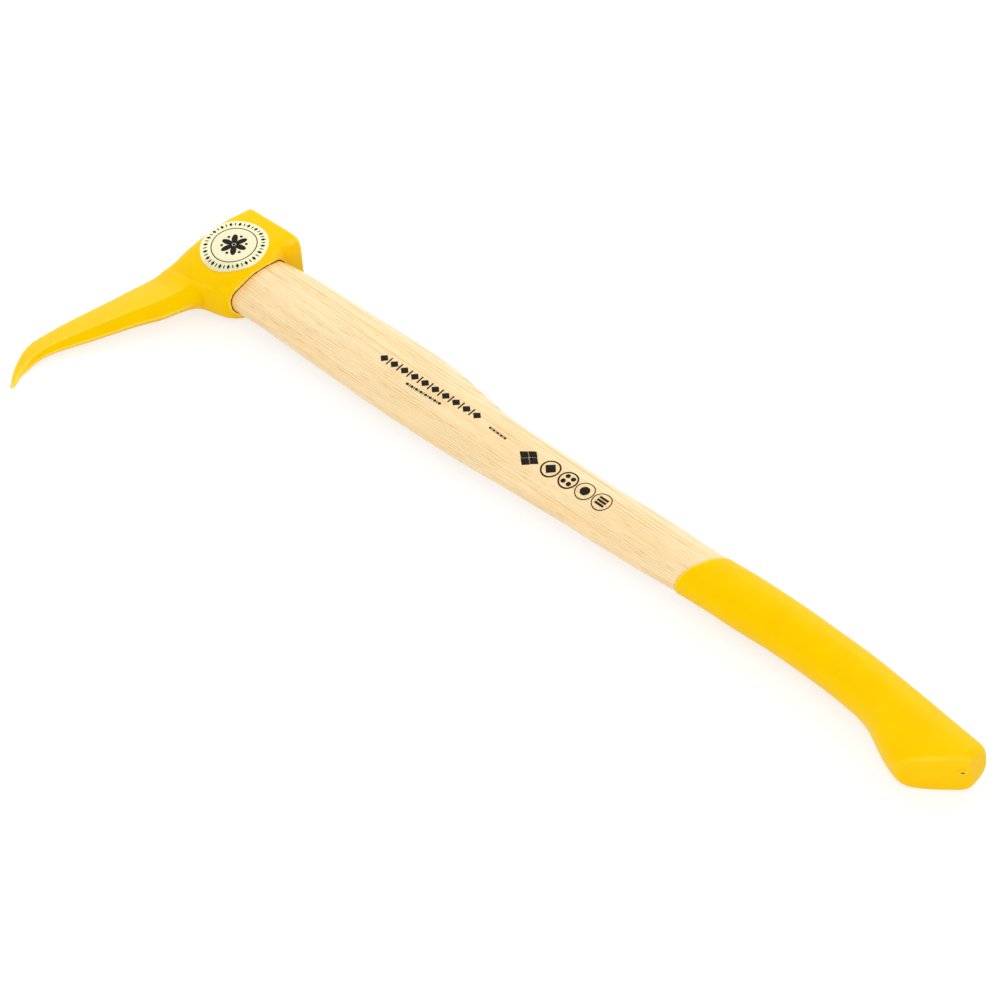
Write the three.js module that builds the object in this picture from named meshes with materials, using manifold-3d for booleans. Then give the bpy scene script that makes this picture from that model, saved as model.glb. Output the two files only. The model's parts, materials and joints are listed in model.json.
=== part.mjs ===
import * as THREE from 'three';
import { mergeVertices } from 'three/addons/utils/BufferGeometryUtils.js';
import Module from 'manifold-3d';

const wasm = await Module();
wasm.setup();

// A hand sappie: a forged head with a curved spike, an ash handle wedged into its eye, and a dipped grip.
// Lengths are in millimetres. The tool is drawn straight: X runs down the handle from the top of the head,
// Y points from the spike to the poll and Z from one cheek to the other. It is laid down at the end.

// Fits that all pieces share
const fitGap = 0.3; // left between two pieces that touch
const overrun = 4; // how far a cutter runs past the face that it cuts

// Head: the block round the eye
const headHeight = 39.5; // top corner of the nose to the rim that the handle enters
const cheekWidth = 32; // over the two cheeks
const pollWidth = 28.4; // over the foot of the poll's flat back
const pollTopWidth = 24.2; // over its top, which is narrower
const pollReach = 26.6; // handle's axis to the flat back of the poll
const pollDrop = 2.9; // how far the poll's top lies below the top corner of the nose
const pollLift = 0.4; // how far the poll's foot lies above the rim
const noseReach = 23.8; // handle's axis to the front of the wall before the eye

// Head: the spike
const spikeRun = 102; // from the nose to the tip, square to the handle
const spikeRise = 23.2; // how far the top of its bow stands above the nose
const spikeRootDepth = 36;
const spikeRootWidth = 20;
const crestShare = 0.78; // where the crest runs, as a share of the depth from the back to the belly
const crestSquareness = 1.2; // 1 gives flat facets, 2 an oval

// Head: the eye
const eyeLength = 36;
const eyeWidth = 24.4;
const eyeSetback = 1.6; // how far the eye's middle lies towards the spike
const eyeFlare = 1.6; // how much longer and wider the eye is at the top
const eyeSquareness = 2.3;

// Handle
const handleLength = 500.4; // from the top of the head to the knob's square end
const handleDepth = 40; // over the shoulder, in the plane of the spike
const handleWidth = 23; // over the shoulder, from side to side
const tenonDip = 0.2; // how far the tenon ends below the head's top
const endEase = 3.2; // radius that the square end's edge is rounded to
const toeSlantDegrees = 50.4; // slant of the flat that takes the toe off
const toeSetback = 22.8; // from the square end back to the toe, along the handle
const toeReach = 24.2; // handle's axis to the toe
const hookBore = 1.8; // the hole of the hook that the handle hung from
const hookDepth = 14;
const hookAlong = 27; // from the toe, along the slanted flat
const hookAside = 1.8; // from the middle of the flat, towards the labelled side

// Dipped coating of the grip
const coatThickness = 0.5;
const coatLength = 165.4; // from the square end to where its edge crosses the handle's axis
const coatEdgeLeanDegrees = 25; // the edge lies lower on the poll side

// Wedges in the top of the tenon
const kerfTop = 3.8;
const kerfFoot = 1.4;
const kerfDepth = 27;
const ringRadius = 6.6;
const ringWall = 1.4;
const ringHeight = 13;
const ringTaper = 0.5; // how much thinner the ring's wall is at its cutting edge

// Label on the cheek
const labelMargin = 2.45; // left of the block's height on either side of the label
const labelThickness = 0.35;
const labelDrop = 0.7; // how far the label's middle lies below the middle of the cheek

// Fineness of the facets
const headSides = 44;
const headSteps = 50;
const handleSides = 32;
const handleSteps = 46;
const easeSteps = 4;
const tenonSteps = 3;
const labelSides = 40;
const ringSides = 28;
const boreSides = 12;

// Stations of the spike from its root to its tip. Each row holds shares: of spikeRun, of spikeRise for
// the back, of spikeRootDepth, and of spikeRootWidth.
const spikeShares = [
  [0.045, 0.315, 0.82, 0.82],
  [0.09, 0.36, 0.814, 0.77],
  [0.2, 0.475, 0.774, 0.7],
  [0.32, 0.595, 0.662, 0.615],
  [0.44, 0.727, 0.592, 0.54],
  [0.56, 0.85, 0.512, 0.46],
  [0.68, 0.945, 0.41, 0.37],
  [0.74, 0.97, 0.367, 0.325],
  [0.8, 0.92, 0.31, 0.28],
  [0.86, 0.8, 0.25, 0.23],
  [0.92, 0.64, 0.17, 0.17],
  [0.968, 0.465, 0.12, 0.12],
  [1, 0.34, 0.05, 0.06],
];

// Stations of the head's block, from the nose to the poll. Each row holds shares: of the way from the nose
// to the poll, of pollDrop for the top, of headHeight for the foot, and of cheekWidth.
const blockShares = [
  [-0.04, -2.35, 0.6, 0.55],
  [-0.01, -2.08, 0.69, 0.57],
  [0.03, -1.72, 0.835, 0.63],
  [0.1, -1.1, 0.94, 0.76],
  [0.25, -0.3, 0.985, 0.94],
  [0.5, 0.22, 1, 1],
  [0.75, 0.6, 1, 0.98],
  [0.9, 0.8, 1, 0.94],
];
const blockSquarenesses = [2, 2.3, 2.8, 3.6, 5, 6.5, 8, 10];
const pollSquareness = 12;
const footSquareness = 5.2; // the most that the foot's corners reach, which are softer than the top's

// Stations of the handle from the eye's rim to the square end. Each row holds shares: of handleLength, then
// of half of handleDepth for the spike side and for the poll side, and of handleWidth.
const handleShares = [
  [0.093, 0.925, 0.87, 1.02],
  [0.113, 0.915, 0.925, 1],
  [0.153, 0.935, 0.965, 0.98],
  [0.195, 0.957, 0.99, 0.98],
  [0.236, 0.972, 1.02, 0.99],
  [0.276, 0.975, 1.035, 1],
  [0.316, 0.965, 1, 0.99],
  [0.358, 0.935, 0.865, 0.965],
  [0.399, 0.89, 0.725, 0.94],
  [0.441, 0.81, 0.71, 0.925],
  [0.481, 0.76, 0.72, 0.915],
  [0.524, 0.7, 0.72, 0.91],
  [0.564, 0.67, 0.745, 0.91],
  [0.606, 0.62, 0.785, 0.915],
  [0.646, 0.55, 0.785, 0.905],
  [0.689, 0.46, 0.795, 0.9],
  [0.729, 0.44, 0.82, 0.905],
  [0.771, 0.395, 0.82, 0.915],
  [0.811, 0.405, 0.785, 0.935],
  [0.854, 0.46, 0.74, 0.955],
  [0.892, 0.61, 0.65, 0.975],
  [0.931, 1.08, 0.54, 0.965],
  [0.954, 1.26, 0.465, 0.945],
  [0.977, 1.3, 0.395, 0.925],
  [1, 1.3, 0.32, 0.925],
];
const handleSquareness = 2.15;
const knobSquareness = 3.1;

// Reads a table between its rows. The first column grows, and every other column runs smoothly through its
// values.
function readTable(rows, at) {
  const last = rows.length - 1;
  let i = 0;
  while (i < last - 1 && rows[i + 1][0] < at) i += 1;
  const [low, high] = [rows[i], rows[i + 1]];
  const [before, after] = [rows[Math.max(i - 1, 0)], rows[Math.min(i + 2, last)]];
  const span = high[0] - low[0];
  const t = THREE.MathUtils.clamp((at - low[0]) / span, 0, 1);
  return low.map((value, k) => {
    const slopeIn = ((high[k] - before[k]) / (high[0] - before[0])) * span;
    const slopeOut = ((after[k] - value) / (after[0] - low[0])) * span;
    const rise = high[k] - value;
    const bend = slopeIn + slopeOut - 2 * rise;
    return value + t * (slopeIn + t * (3 * rise - 2 * slopeIn - slopeOut + t * bend));
  });
}

// One point of a closed outline between the two ends of its depth, widest where the crest is.
// A squareness of 1 gives flat facets, 2 an oval and more a block with rounded corners. The high end may
// have a squareness of its own.
function outlinePoint(angle, low, crest, high, halfWidth, squareness, highSquareness = squareness) {
  const power = 2 / (Math.cos(angle) > 0 ? highSquareness : squareness);
  const along = Math.sign(Math.cos(angle)) * Math.abs(Math.cos(angle)) ** power;
  const across = Math.sign(Math.sin(angle)) * Math.abs(Math.sin(angle)) ** power;
  const reach = along > 0 ? high - crest : crest - low;
  return [crest + along * reach, across * halfWidth];
}

// A closed skin over a row of rings that have the same number of points.
function loft(rings) {
  const around = rings[0].length;
  const points = rings.flat();
  const faces = [];
  for (let i = 0; i < rings.length - 1; i += 1) {
    for (let j = 0; j < around; j += 1) {
      const next = (j + 1) % around;
      const [a, b] = [i * around + j, i * around + next];
      faces.push(a, b, b + around, a, b + around, a + around);
    }
  }
  for (const [ring, first] of [[rings[0], 0], [rings.at(-1), (rings.length - 1) * around]]) {
    const middle = ring.reduce((sum, point) => sum.add(point), new THREE.Vector3()).divideScalar(around);
    points.push(middle);
    for (let j = 0; j < around; j += 1) {
      const next = (j + 1) % around;
      const pair = first === 0 ? [first + next, first + j] : [first + j, first + next];
      faces.push(points.length - 1, ...pair);
    }
  }
  const geometry = new THREE.BufferGeometry().setFromPoints(points);
  geometry.setIndex(faces);
  return geometry;
}

function toSolid(geometry) {
  const bare = geometry.clone();
  bare.deleteAttribute('normal');
  bare.deleteAttribute('uv');
  const merged = mergeVertices(bare, fitGap / 1000);
  const vertProperties = new Float32Array(merged.attributes.position.array);
  const triVerts = new Uint32Array(merged.index.array);
  return new wasm.Manifold(new wasm.Mesh({ numProp: 3, vertProperties, triVerts }));
}

function toGeometry(solid) {
  const mesh = solid.getMesh();
  const geometry = new THREE.BufferGeometry();
  geometry.setAttribute('position', new THREE.BufferAttribute(mesh.vertProperties, mesh.numProp));
  geometry.setIndex(new THREE.BufferAttribute(mesh.triVerts, 1));
  return geometry;
}

// Head

function headRows() {
  const spike = spikeShares.map(([run, rise, depth, width]) => {
    const back = -rise * spikeRise;
    const belly = back + depth * spikeRootDepth;
    return [-noseReach - run * spikeRun, back, belly, width * spikeRootWidth, crestSquareness];
  });
  spike[0][4] = (crestSquareness + blockSquarenesses[0]) / 2;
  const blockRun = noseReach + pollReach;
  const block = blockShares.map(([run, top, footShare, width], i) => {
    const foot = footShare * headHeight - Math.max(run, 0) * pollLift;
    return [run * blockRun - noseReach, top * pollDrop, foot, width * cheekWidth, blockSquarenesses[i]];
  });
  const poll = [pollReach, pollDrop, headHeight - pollLift, pollWidth, pollSquareness];
  return [...spike.reverse(), ...block, poll];
}

// How wide the head is along its top, as a share of its full width: the poll narrows towards its top.
function topWidthShare(y) {
  const inPoll = THREE.MathUtils.smoothstep(y, pollReach / 3, pollReach);
  return THREE.MathUtils.lerp(1, pollTopWidth / pollWidth, inPoll);
}

// One ring of the head, grown by a skin, at one place along the spike.
function headRing(y, skin) {
  const [, top, foot, width, squareness] = readTable(headRows(), y);
  const inSpike = THREE.MathUtils.smoothstep(-y, 0, noseReach);
  const crest = THREE.MathUtils.lerp(top, foot, THREE.MathUtils.lerp(0.5, crestShare, inSpike));
  return Array.from({ length: headSides }, (_, j) => {
    const angle = (j / headSides) * 2 * Math.PI;
    const sides = [top - skin, crest, foot + skin, width / 2 + skin];
    const [x, z] = outlinePoint(angle, ...sides, squareness, Math.min(squareness, footSquareness));
    const narrowing = THREE.MathUtils.mapLinear(x, top, foot, topWidthShare(y), 1);
    return new THREE.Vector3(x, y, -z * narrowing);
  });
}

// The forged block and spike, before the eye is punched.
function forgedBlank(skin) {
  const tip = -noseReach - spikeRun;
  const rings = [];
  for (let i = 0; i <= headSteps; i += 1) {
    rings.push(headRing(THREE.MathUtils.lerp(tip, pollReach, i / headSteps), skin));
  }
  return toSolid(loft(rings));
}

// An oval at height x that fills the eye but for a gap. It leans with the head's top, and less towards the rim.
function eyeRing(x, gap) {
  const flare = eyeFlare * (1 - x / headHeight);
  const [halfLength, halfWidth] = [(eyeLength + flare) / 2 - gap, (eyeWidth + flare) / 2 - gap];
  return Array.from({ length: handleSides }, (_, j) => {
    const angle = (j / handleSides) * 2 * Math.PI;
    const [y, z] = outlinePoint(angle, -halfLength, 0, halfLength, halfWidth, eyeSquareness);
    return new THREE.Vector3(x, y - eyeSetback, z);
  });
}

function eyeCutter() {
  const ends = [-overrun - spikeRise, headHeight + overrun];
  return toSolid(loft(ends.map((x) => eyeRing(x, 0))));
}

// How far down the handle the head's top lies, at a place over the eye.
function headTop(y, z) {
  const [, top, foot, width, squareness] = readTable(headRows(), y);
  const crest = (top + foot) / 2;
  const across = Math.abs((2 * z) / (width * topWidthShare(y)));
  return crest - (1 - across ** squareness) ** (1 / squareness) * (crest - top);
}

function head() {
  return forgedBlank(0).subtract(eyeCutter());
}

// Handle

// Spike side, poll side and half width of the handle, grown by a skin, at one place along it.
function handleSection(x, skin) {
  const [, front, back, width] = readTable(handleShares, x / handleLength);
  const half = handleDepth / 2;
  return [-front * half - skin, back * half + skin, (width * handleWidth) / 2 + skin];
}

// One ring of the handle, grown by a skin.
function handleRing(x, skin) {
  const [front, back, halfWidth] = handleSection(x, skin);
  const middle = (front + back) / 2;
  const inKnob = THREE.MathUtils.smoothstep(x, handleLength - toeSetback - handleDepth, handleLength);
  const squareness = THREE.MathUtils.lerp(handleSquareness, knobSquareness, inKnob);
  return Array.from({ length: handleSides }, (_, j) => {
    const angle = (j / handleSides) * 2 * Math.PI;
    const [y, z] = outlinePoint(angle, front, middle, back, halfWidth, squareness);
    return new THREE.Vector3(x, y, z);
  });
}

// The tenon's top ring lies just below the head's top and follows it.
function tenonTopRing() {
  return eyeRing(0, fitGap).map((point) => point.setX(headTop(point.y, point.z) + tenonDip));
}

// The handle's rings from below the rim to the square end, whose edge is rounded. The skin lengthens it too.
function shaftRings(skin) {
  const start = handleShares[0][0] * handleLength;
  const rings = [];
  for (let i = 0; i <= handleSteps; i += 1) {
    rings.push(handleRing(THREE.MathUtils.lerp(start, handleLength - endEase, i / handleSteps), skin));
  }
  for (let i = 1; i <= easeSteps; i += 1) {
    const turn = ((i / easeSteps) * Math.PI) / 2;
    const ease = endEase * (1 - Math.cos(turn));
    const x = handleLength + (endEase + skin) * Math.sin(turn) - endEase;
    rings.push(handleRing(handleLength, skin - ease).map((point) => point.setX(x)));
  }
  return rings;
}

// A block whose face is the slanted flat, moved outwards by a skin.
function endCutter(skin) {
  const size = handleDepth * 2;
  const block = new THREE.BoxGeometry(size, size, size);
  block.translate(size / 2 + skin, 0, 0);
  block.rotateZ(THREE.MathUtils.degToRad(-toeSlantDegrees));
  block.translate(handleLength - toeSetback, -toeReach, 0);
  return toSolid(block);
}

// A pin square to the slanted flat, for the hole that the dipping hook leaves.
function hookCutter() {
  const pin = new THREE.CylinderGeometry(hookBore / 2, hookBore / 2, hookDepth + overrun, boreSides);
  pin.rotateZ(Math.PI / 2);
  pin.translate((overrun - hookDepth) / 2, hookAlong, hookAside);
  pin.rotateZ(THREE.MathUtils.degToRad(-toeSlantDegrees));
  pin.translate(handleLength - toeSetback, -toeReach, 0);
  return toSolid(pin);
}

function handleBlank() {
  const tenon = [tenonTopRing()];
  for (let i = 1; i <= tenonSteps; i += 1) tenon.push(eyeRing((i / tenonSteps) * headHeight, fitGap));
  return toSolid(loft([...tenon, ...shaftRings(0)]));
}

function handle() {
  const wedged = handleBlank().subtract(kerfCutter(0)).subtract(ringGroove());
  return wedged.subtract(endCutter(0)).subtract(hookCutter());
}

// Wedges

// A long wedge along the eye, thick at the top. The gap is taken off each of its two faces.
function kerfCutter(gap) {
  const topX = -pollDrop - overrun;
  const footX = kerfDepth - gap;
  const growth = (kerfTop - kerfFoot) / kerfDepth;
  const halfAt = (x) => (kerfTop - growth * x) / 2 - gap;
  const outline = new THREE.Shape();
  outline.moveTo(topX, -halfAt(topX));
  outline.lineTo(footX, -halfAt(footX));
  outline.lineTo(footX, halfAt(footX));
  outline.lineTo(topX, halfAt(topX));
  const slab = new THREE.ExtrudeGeometry(outline, { depth: 2 * eyeLength, bevelEnabled: false });
  slab.rotateX(Math.PI / 2);
  slab.translate(0, eyeLength - eyeSetback, 0);
  return toSolid(slab);
}

function woodenWedge() {
  return handleBlank().intersect(kerfCutter(fitGap)).subtract(ringGroove());
}

// The head's top at the middle of the eye, which the ring wedge is driven flush with.
function eyeTop() {
  return headTop(-eyeSetback, 0);
}

// A tapered tube round the eye's axis. The gap is added to its walls and its foot.
function ringTube(gap, above) {
  const top = eyeTop() - above;
  const foot = eyeTop() + ringHeight + gap;
  const outerFoot = ringRadius - ringTaper / 2 + gap;
  const innerFoot = ringRadius - ringWall + ringTaper / 2 - gap;
  const profile = [
    new THREE.Vector2(ringRadius - ringWall - gap, -top),
    new THREE.Vector2(innerFoot, -foot),
    new THREE.Vector2(outerFoot, -foot),
    new THREE.Vector2(ringRadius + gap, -top),
  ];
  const tube = new THREE.LatheGeometry([...profile, profile[0]], ringSides);
  tube.rotateZ(Math.PI / 2);
  tube.translate(0, -eyeSetback, 0);
  return toSolid(tube);
}

function ringGroove() {
  return ringTube(fitGap, pollDrop + overrun);
}

function ringWedge() {
  return ringTube(0, 0);
}

// Grip coating

// Everything on the knob's side of the slanted edge where the dip ended.
function dippedSide() {
  const size = handleLength;
  const block = new THREE.BoxGeometry(size, size, size);
  block.translate(size / 2, 0, 0);
  block.rotateZ(THREE.MathUtils.degToRad(-coatEdgeLeanDegrees));
  block.translate(handleLength - coatLength, 0, 0);
  return toSolid(block);
}

function coatBlank(skin) {
  return toSolid(loft(shaftRings(skin))).subtract(endCutter(skin));
}

function gripCoating() {
  const outer = coatBlank(fitGap + coatThickness);
  return outer.subtract(coatBlank(fitGap)).intersect(dippedSide()).subtract(hookCutter());
}

// Label

// A round of thin film in the middle of the cheek: a shell round the head, cut out by a punch.
function cheekLabel() {
  const radius = headHeight / 2 - labelMargin;
  const punch = new THREE.CylinderGeometry(radius, radius, cheekWidth, labelSides);
  punch.rotateX(Math.PI / 2);
  punch.translate(headHeight / 2 + labelDrop, (pollReach - noseReach) / 2, cheekWidth / 2);
  return forgedBlank(fitGap + labelThickness).subtract(forgedBlank(fitGap)).intersect(toSolid(punch));
}

// Assembly

const paint = { color: '#fdcb02', roughness: 0.3, metalness: 0 };
const finishes = {
  head: paint,
  handle: { color: '#f9e2b9', roughness: 0.55, metalness: 0 },
  wooden_wedge: { color: '#d9b98a', roughness: 0.65, metalness: 0 },
  ring_wedge: { color: '#8f9194', roughness: 0.4, metalness: 1 },
  grip_coating: paint,
  cheek_label: { color: '#f7efc0', roughness: 0.4, metalness: 0 },
};

function addPiece(group, name, solid) {
  const mesh = new THREE.Mesh(toGeometry(solid), new THREE.MeshStandardMaterial(finishes[name]));
  mesh.name = name;
  group.add(mesh);
}

function straightTool() {
  const tool = new THREE.Group();
  addPiece(tool, 'head', head());
  addPiece(tool, 'handle', handle());
  addPiece(tool, 'wooden_wedge', woodenWedge());
  addPiece(tool, 'ring_wedge', ringWedge());
  addPiece(tool, 'grip_coating', gripCoating());
  addPiece(tool, 'cheek_label', cheekLabel());
  return tool;
}

// Every corner of the named piece, in the straight frame, that passes a test.
function corners(tool, name, test) {
  const place = tool.getObjectByName(name).geometry.attributes.position;
  const corner = (_, i) => new THREE.Vector3().fromBufferAttribute(place, i);
  return Array.from({ length: place.count }, corner).filter(test);
}

function lowest(points, up) {
  return points.reduce((best, point) => (point.dot(up) < best.dot(up) ? point : best));
}

// The direction that points up once the tool lies on its spike's tip, a cheek and its knob.
function restingUp(tool) {
  const spike = corners(tool, 'head', (point) => point.y < -noseReach - spikeRun / 2);
  const cheek = corners(tool, 'head', (point) => point.y > -noseReach);
  const knob = corners(tool, 'grip_coating', (point) => point.x > handleLength - handleDepth);
  let up = new THREE.Vector3(0, 0, 1);
  for (let i = 0; i < 12; i += 1) {
    const [a, b, c] = [spike, cheek, knob].map((points) => lowest(points, up));
    up = b.clone().sub(a).cross(c.clone().sub(a)).normalize();
    if (up.z < 0) up.negate();
  }
  return up;
}

// Lays the tool on a table: upright direction first, then the middle of its footprint over the origin.
function laidDown(tool) {
  const frame = new THREE.Group();
  const up = restingUp(tool);
  tool.quaternion.setFromUnitVectors(up, new THREE.Vector3(0, 0, 1));
  frame.add(tool);
  const box = new THREE.Box3().setFromObject(frame, true);
  tool.position.set(-(box.min.x + box.max.x) / 2, -(box.min.y + box.max.y) / 2, -box.min.z);
  return frame;
}

export default laidDown(straightTool());
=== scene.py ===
"""A hand sappie in a plain studio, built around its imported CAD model.

A hand sappie is a short forestry tool: a forged head with a curved spike and a flat poll, an ash handle
wedged into the head's eye, and a grip dipped in the head's yellow. The pieces are drawn straight, in
millimetres: X runs down the handle from the top of the head, Y points from the spike to the poll and Z from
one cheek to the other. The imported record's two mounts say how that frame lies on the table.
"""

import json
import logging
import math
from dataclasses import dataclass
from enum import Enum

import bpy
import numpy as np
from mathutils import Matrix, Vector, noise
from mathutils.bvhtree import BVHTree

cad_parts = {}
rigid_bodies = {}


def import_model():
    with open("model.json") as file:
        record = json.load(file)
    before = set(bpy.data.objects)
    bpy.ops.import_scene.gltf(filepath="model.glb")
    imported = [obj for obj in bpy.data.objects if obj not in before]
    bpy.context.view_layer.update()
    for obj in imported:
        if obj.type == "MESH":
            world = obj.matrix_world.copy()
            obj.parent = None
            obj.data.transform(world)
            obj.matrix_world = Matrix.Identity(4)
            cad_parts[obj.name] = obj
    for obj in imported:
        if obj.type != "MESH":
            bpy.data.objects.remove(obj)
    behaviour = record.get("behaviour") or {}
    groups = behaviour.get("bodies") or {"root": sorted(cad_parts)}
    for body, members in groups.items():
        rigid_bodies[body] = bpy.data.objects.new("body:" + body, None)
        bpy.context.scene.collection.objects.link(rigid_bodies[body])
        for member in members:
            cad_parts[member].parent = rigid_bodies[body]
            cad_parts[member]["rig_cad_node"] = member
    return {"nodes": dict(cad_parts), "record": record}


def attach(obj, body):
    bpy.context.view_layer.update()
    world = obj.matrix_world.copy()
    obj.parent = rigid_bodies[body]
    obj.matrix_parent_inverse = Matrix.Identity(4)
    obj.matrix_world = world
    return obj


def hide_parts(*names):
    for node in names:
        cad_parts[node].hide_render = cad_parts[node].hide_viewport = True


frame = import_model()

Array, Material, Object = np.ndarray, bpy.types.Material, bpy.types.Object
Socket, Tree = bpy.types.NodeSocket, bpy.types.NodeTree
Faces = list[tuple[int, ...]]
Inputs = dict[str | int, object]
Place = tuple[float, float, float]
Range = tuple[float, float]
Rows = tuple[tuple[float, ...], ...]
Stops = tuple[tuple[float, str], ...]

log = logging.getLogger("hand_sappie")

MM = 0.001
ROOT = "root"
EDGE = "edge"
DOWN = np.array([1.0, 0.0, 0.0])  # down the handle
SIDE = np.array([0.0, 0.0, 1.0])  # towards the labelled cheek
WHITE = (1.0, 1.0, 1.0, 1.0)
CLEAR = 60.0  # from the axes, in millimetres: outside the handle's sides and below the head's foot
SHORTEST = 1e-6  # stands in for the square of an edge's length where it has none

# The Mix node's settings for colours, and its inputs for the share and the two colours.
MIX_COLOURS = {"out": 2, "data_type": "RGBA"}
SHARE, UNDER, OVER = 0, 6, 7


# Reading shapes


def read_table(rows: Rows, at: Array) -> Array:
    """Reads a table of stations smoothly between its rows.

    Args:
        rows: The stations. The first column grows from row to row.
        at: Places to read at, as values of the first column.

    Returns:
        One row of all columns for each place.
    """
    table = np.array(rows, float)
    at = np.asarray(at, float)
    last = len(table) - 1
    i = np.clip(np.searchsorted(table[:, 0], at) - 1, 0, last - 1)
    low, high = table[i], table[i + 1]
    before, after = table[np.maximum(i - 1, 0)], table[np.minimum(i + 2, last)]
    span = (high - low)[..., :1]
    t = np.clip((at[..., None] - low[..., :1]) / span, 0, 1)
    slope_in = (high - before) / (high - before)[..., :1] * span
    slope_out = (after - low) / (after - low)[..., :1] * span
    rise = high - low
    bend = slope_in + slope_out - 2 * rise
    return low + t * (slope_in + t * (3 * rise - 2 * slope_in - slope_out + t * bend))


def smoothstep(at: Array, start: float, end: float) -> Array:
    """Runs smoothly from 0 at start to 1 at end."""
    t = np.clip((np.asarray(at, float) - start) / (end - start), 0, 1)
    return t * t * (3 - 2 * t)


def lerp(start: float, end: float, share: Array) -> Array:
    """A value part of the way from start to end."""
    return start + (end - start) * share


def oval(angles: Array, squareness: Array | float) -> list[Array]:
    """Cosines and sines of a superellipse: an oval at a squareness of 2, nearly a box at 10."""
    return [np.sign(v) * np.abs(v) ** (2 / squareness) for v in (np.cos(angles), np.sin(angles))]


def spokes(angles: Array, along: Array, side: Array) -> Array:
    """Directions round a circle, from along at 0 towards side."""
    return np.cos(angles)[:, None] * along + np.sin(angles)[:, None] * side


def xyz(x: Array, y: Array, z: Array) -> Array:
    """Points from three coordinates, each spread over the shape of the others."""
    return np.stack(np.broadcast_arrays(x, y, z), -1)


def ring_angles(sides: int) -> Array:
    """Evenly spaced angles round a circle, in radians."""
    return np.arange(sides) / sides * 2 * math.pi


def even_ring(ring: Array, sides: int) -> Array:
    """Spreads the points of a closed ring evenly along its length.

    Args:
        ring: The ring's points, one row each.
        sides: How many points to give back.

    Returns:
        The new points. The first one stays where it was.
    """
    closed = np.vstack([ring, ring[:1]])
    run = np.concatenate([[0], np.cumsum(np.linalg.norm(np.diff(closed, axis=0), axis=1))])
    at = np.arange(sides) / sides * run[-1]
    return np.stack([np.interp(at, run, closed[:, k]) for k in range(3)], 1)


def square_ring(middle: Array, along: Array, side: Array) -> Array:
    """The corners of a flat shape with four sides, from its middle and its two half sides."""
    return np.array([middle + a * along + b * side for a, b in ((-1, -1), (1, -1), (1, 1), (-1, 1))])


# Making meshes


def link(name: str, data: bpy.types.ID | None) -> Object:
    """Puts a new object into the scene.

    Args:
        name: Its name.
        data: Its mesh, lamp or camera, or None for an empty.

    Returns:
        The object.
    """
    made = bpy.data.objects.new(name, data)
    bpy.context.scene.collection.objects.link(made)
    return made


@dataclass(frozen=True)
class StraightFrame:
    """The frame that the tool is drawn in, and how it lies on the table.

    Each axis of the record's mounts is known in both frames, so the two mounts place the whole tool.
    """

    slant_degrees: float = 50.4
    poll_point: Place = (21.5, 26.6, 0.0)

    def to_table(self) -> Matrix:
        """Works out how the tool is laid down.

        Returns:
            The matrix from the straight frame, in metres, to the table's frame.
        """
        mounts = {m["name"]: m for m in frame["record"]["mounts"]}
        slant = math.radians(self.slant_degrees)
        across = Vector(mounts["poll_back"]["axis"]).normalized()
        end_face = Vector(mounts["knob_end"]["axis"]).normalized()
        down = (end_face + math.sin(slant) * across) / math.cos(slant)
        down = (down - down.dot(across) * across).normalized()
        turn = Matrix((down, across, down.cross(across))).transposed()
        place = Vector(mounts["poll_back"]["pos_m"]) - turn @ (Vector(self.poll_point) * MM)
        return Matrix.Translation(place) @ turn.to_4x4()

    def marker(self) -> Object:
        """Marks the straight frame for the finishes, which take their directions from it.

        Returns:
            An empty, the same one each time.
        """
        found = bpy.data.objects.get("straight_frame")
        if found is None:
            found = link("straight_frame", None)
            found.matrix_world = self.to_table()
            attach(found, ROOT)
        return found


def numbered(rows: int, columns: int) -> Array:
    """A grid of point numbers. Each row ends with its first number again."""
    number = np.arange(rows * columns).reshape(rows, columns)
    return np.hstack([number, number[:, :1]])


def quads(number: Array) -> Faces:
    """The faces between the rows and columns of a grid of point numbers."""
    corners = (number[:-1, :-1], number[:-1, 1:], number[1:, 1:], number[1:, :-1])
    return [tuple(q) for q in np.stack(corners, -1).reshape(-1, 4).tolist()]


def make_mesh(name: str, points: Array, faces: Faces) -> Object:
    """Makes a mesh object in the straight frame.

    Args:
        name: The object's name.
        points: Its corners, in millimetres.
        faces: Its faces, as numbers of corners.

    Returns:
        The linked object, smooth shaded. It still has to be laid on the table.
    """
    mesh = bpy.data.meshes.new(name)
    mesh.from_pydata((np.asarray(points, float) * MM).tolist(), [], faces)
    mesh.validate()
    mesh.polygons.foreach_set("use_smooth", [True] * len(mesh.polygons))
    mesh.update()
    return link(name, mesh)


def closed_loft(name: str, rings: Array) -> Object:
    """Makes a skin over a row of rings, closed by a fan of triangles at each end.

    Args:
        name: The object's name.
        rings: Points, shaped (rings, sides, 3), in millimetres.

    Returns:
        The object.
    """
    points = np.vstack([rings.reshape(-1, 3), rings[0].mean(0), rings[-1].mean(0)])
    number = numbered(*rings.shape[:2])
    faces, size = quads(number), len(points) - 2
    first, last = number[[0, -1]].tolist()
    for a, b, c, d in zip(first, first[1:], last, last[1:]):
        faces += [(size, b, a), (size + 1, c, d)]
    return make_mesh(name, points, faces)


def closed_tube(name: str, rings: Array) -> Object:
    """Makes a skin over rings that lead back to the first one, as round a ring or a shell with a hole.

    Args:
        name: The object's name.
        rings: Points, shaped (rings, sides, 3), in millimetres.

    Returns:
        The object.
    """
    number = numbered(*rings.shape[:2])
    return make_mesh(name, rings.reshape(-1, 3), quads(np.vstack([number, number[:1]])))


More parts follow.
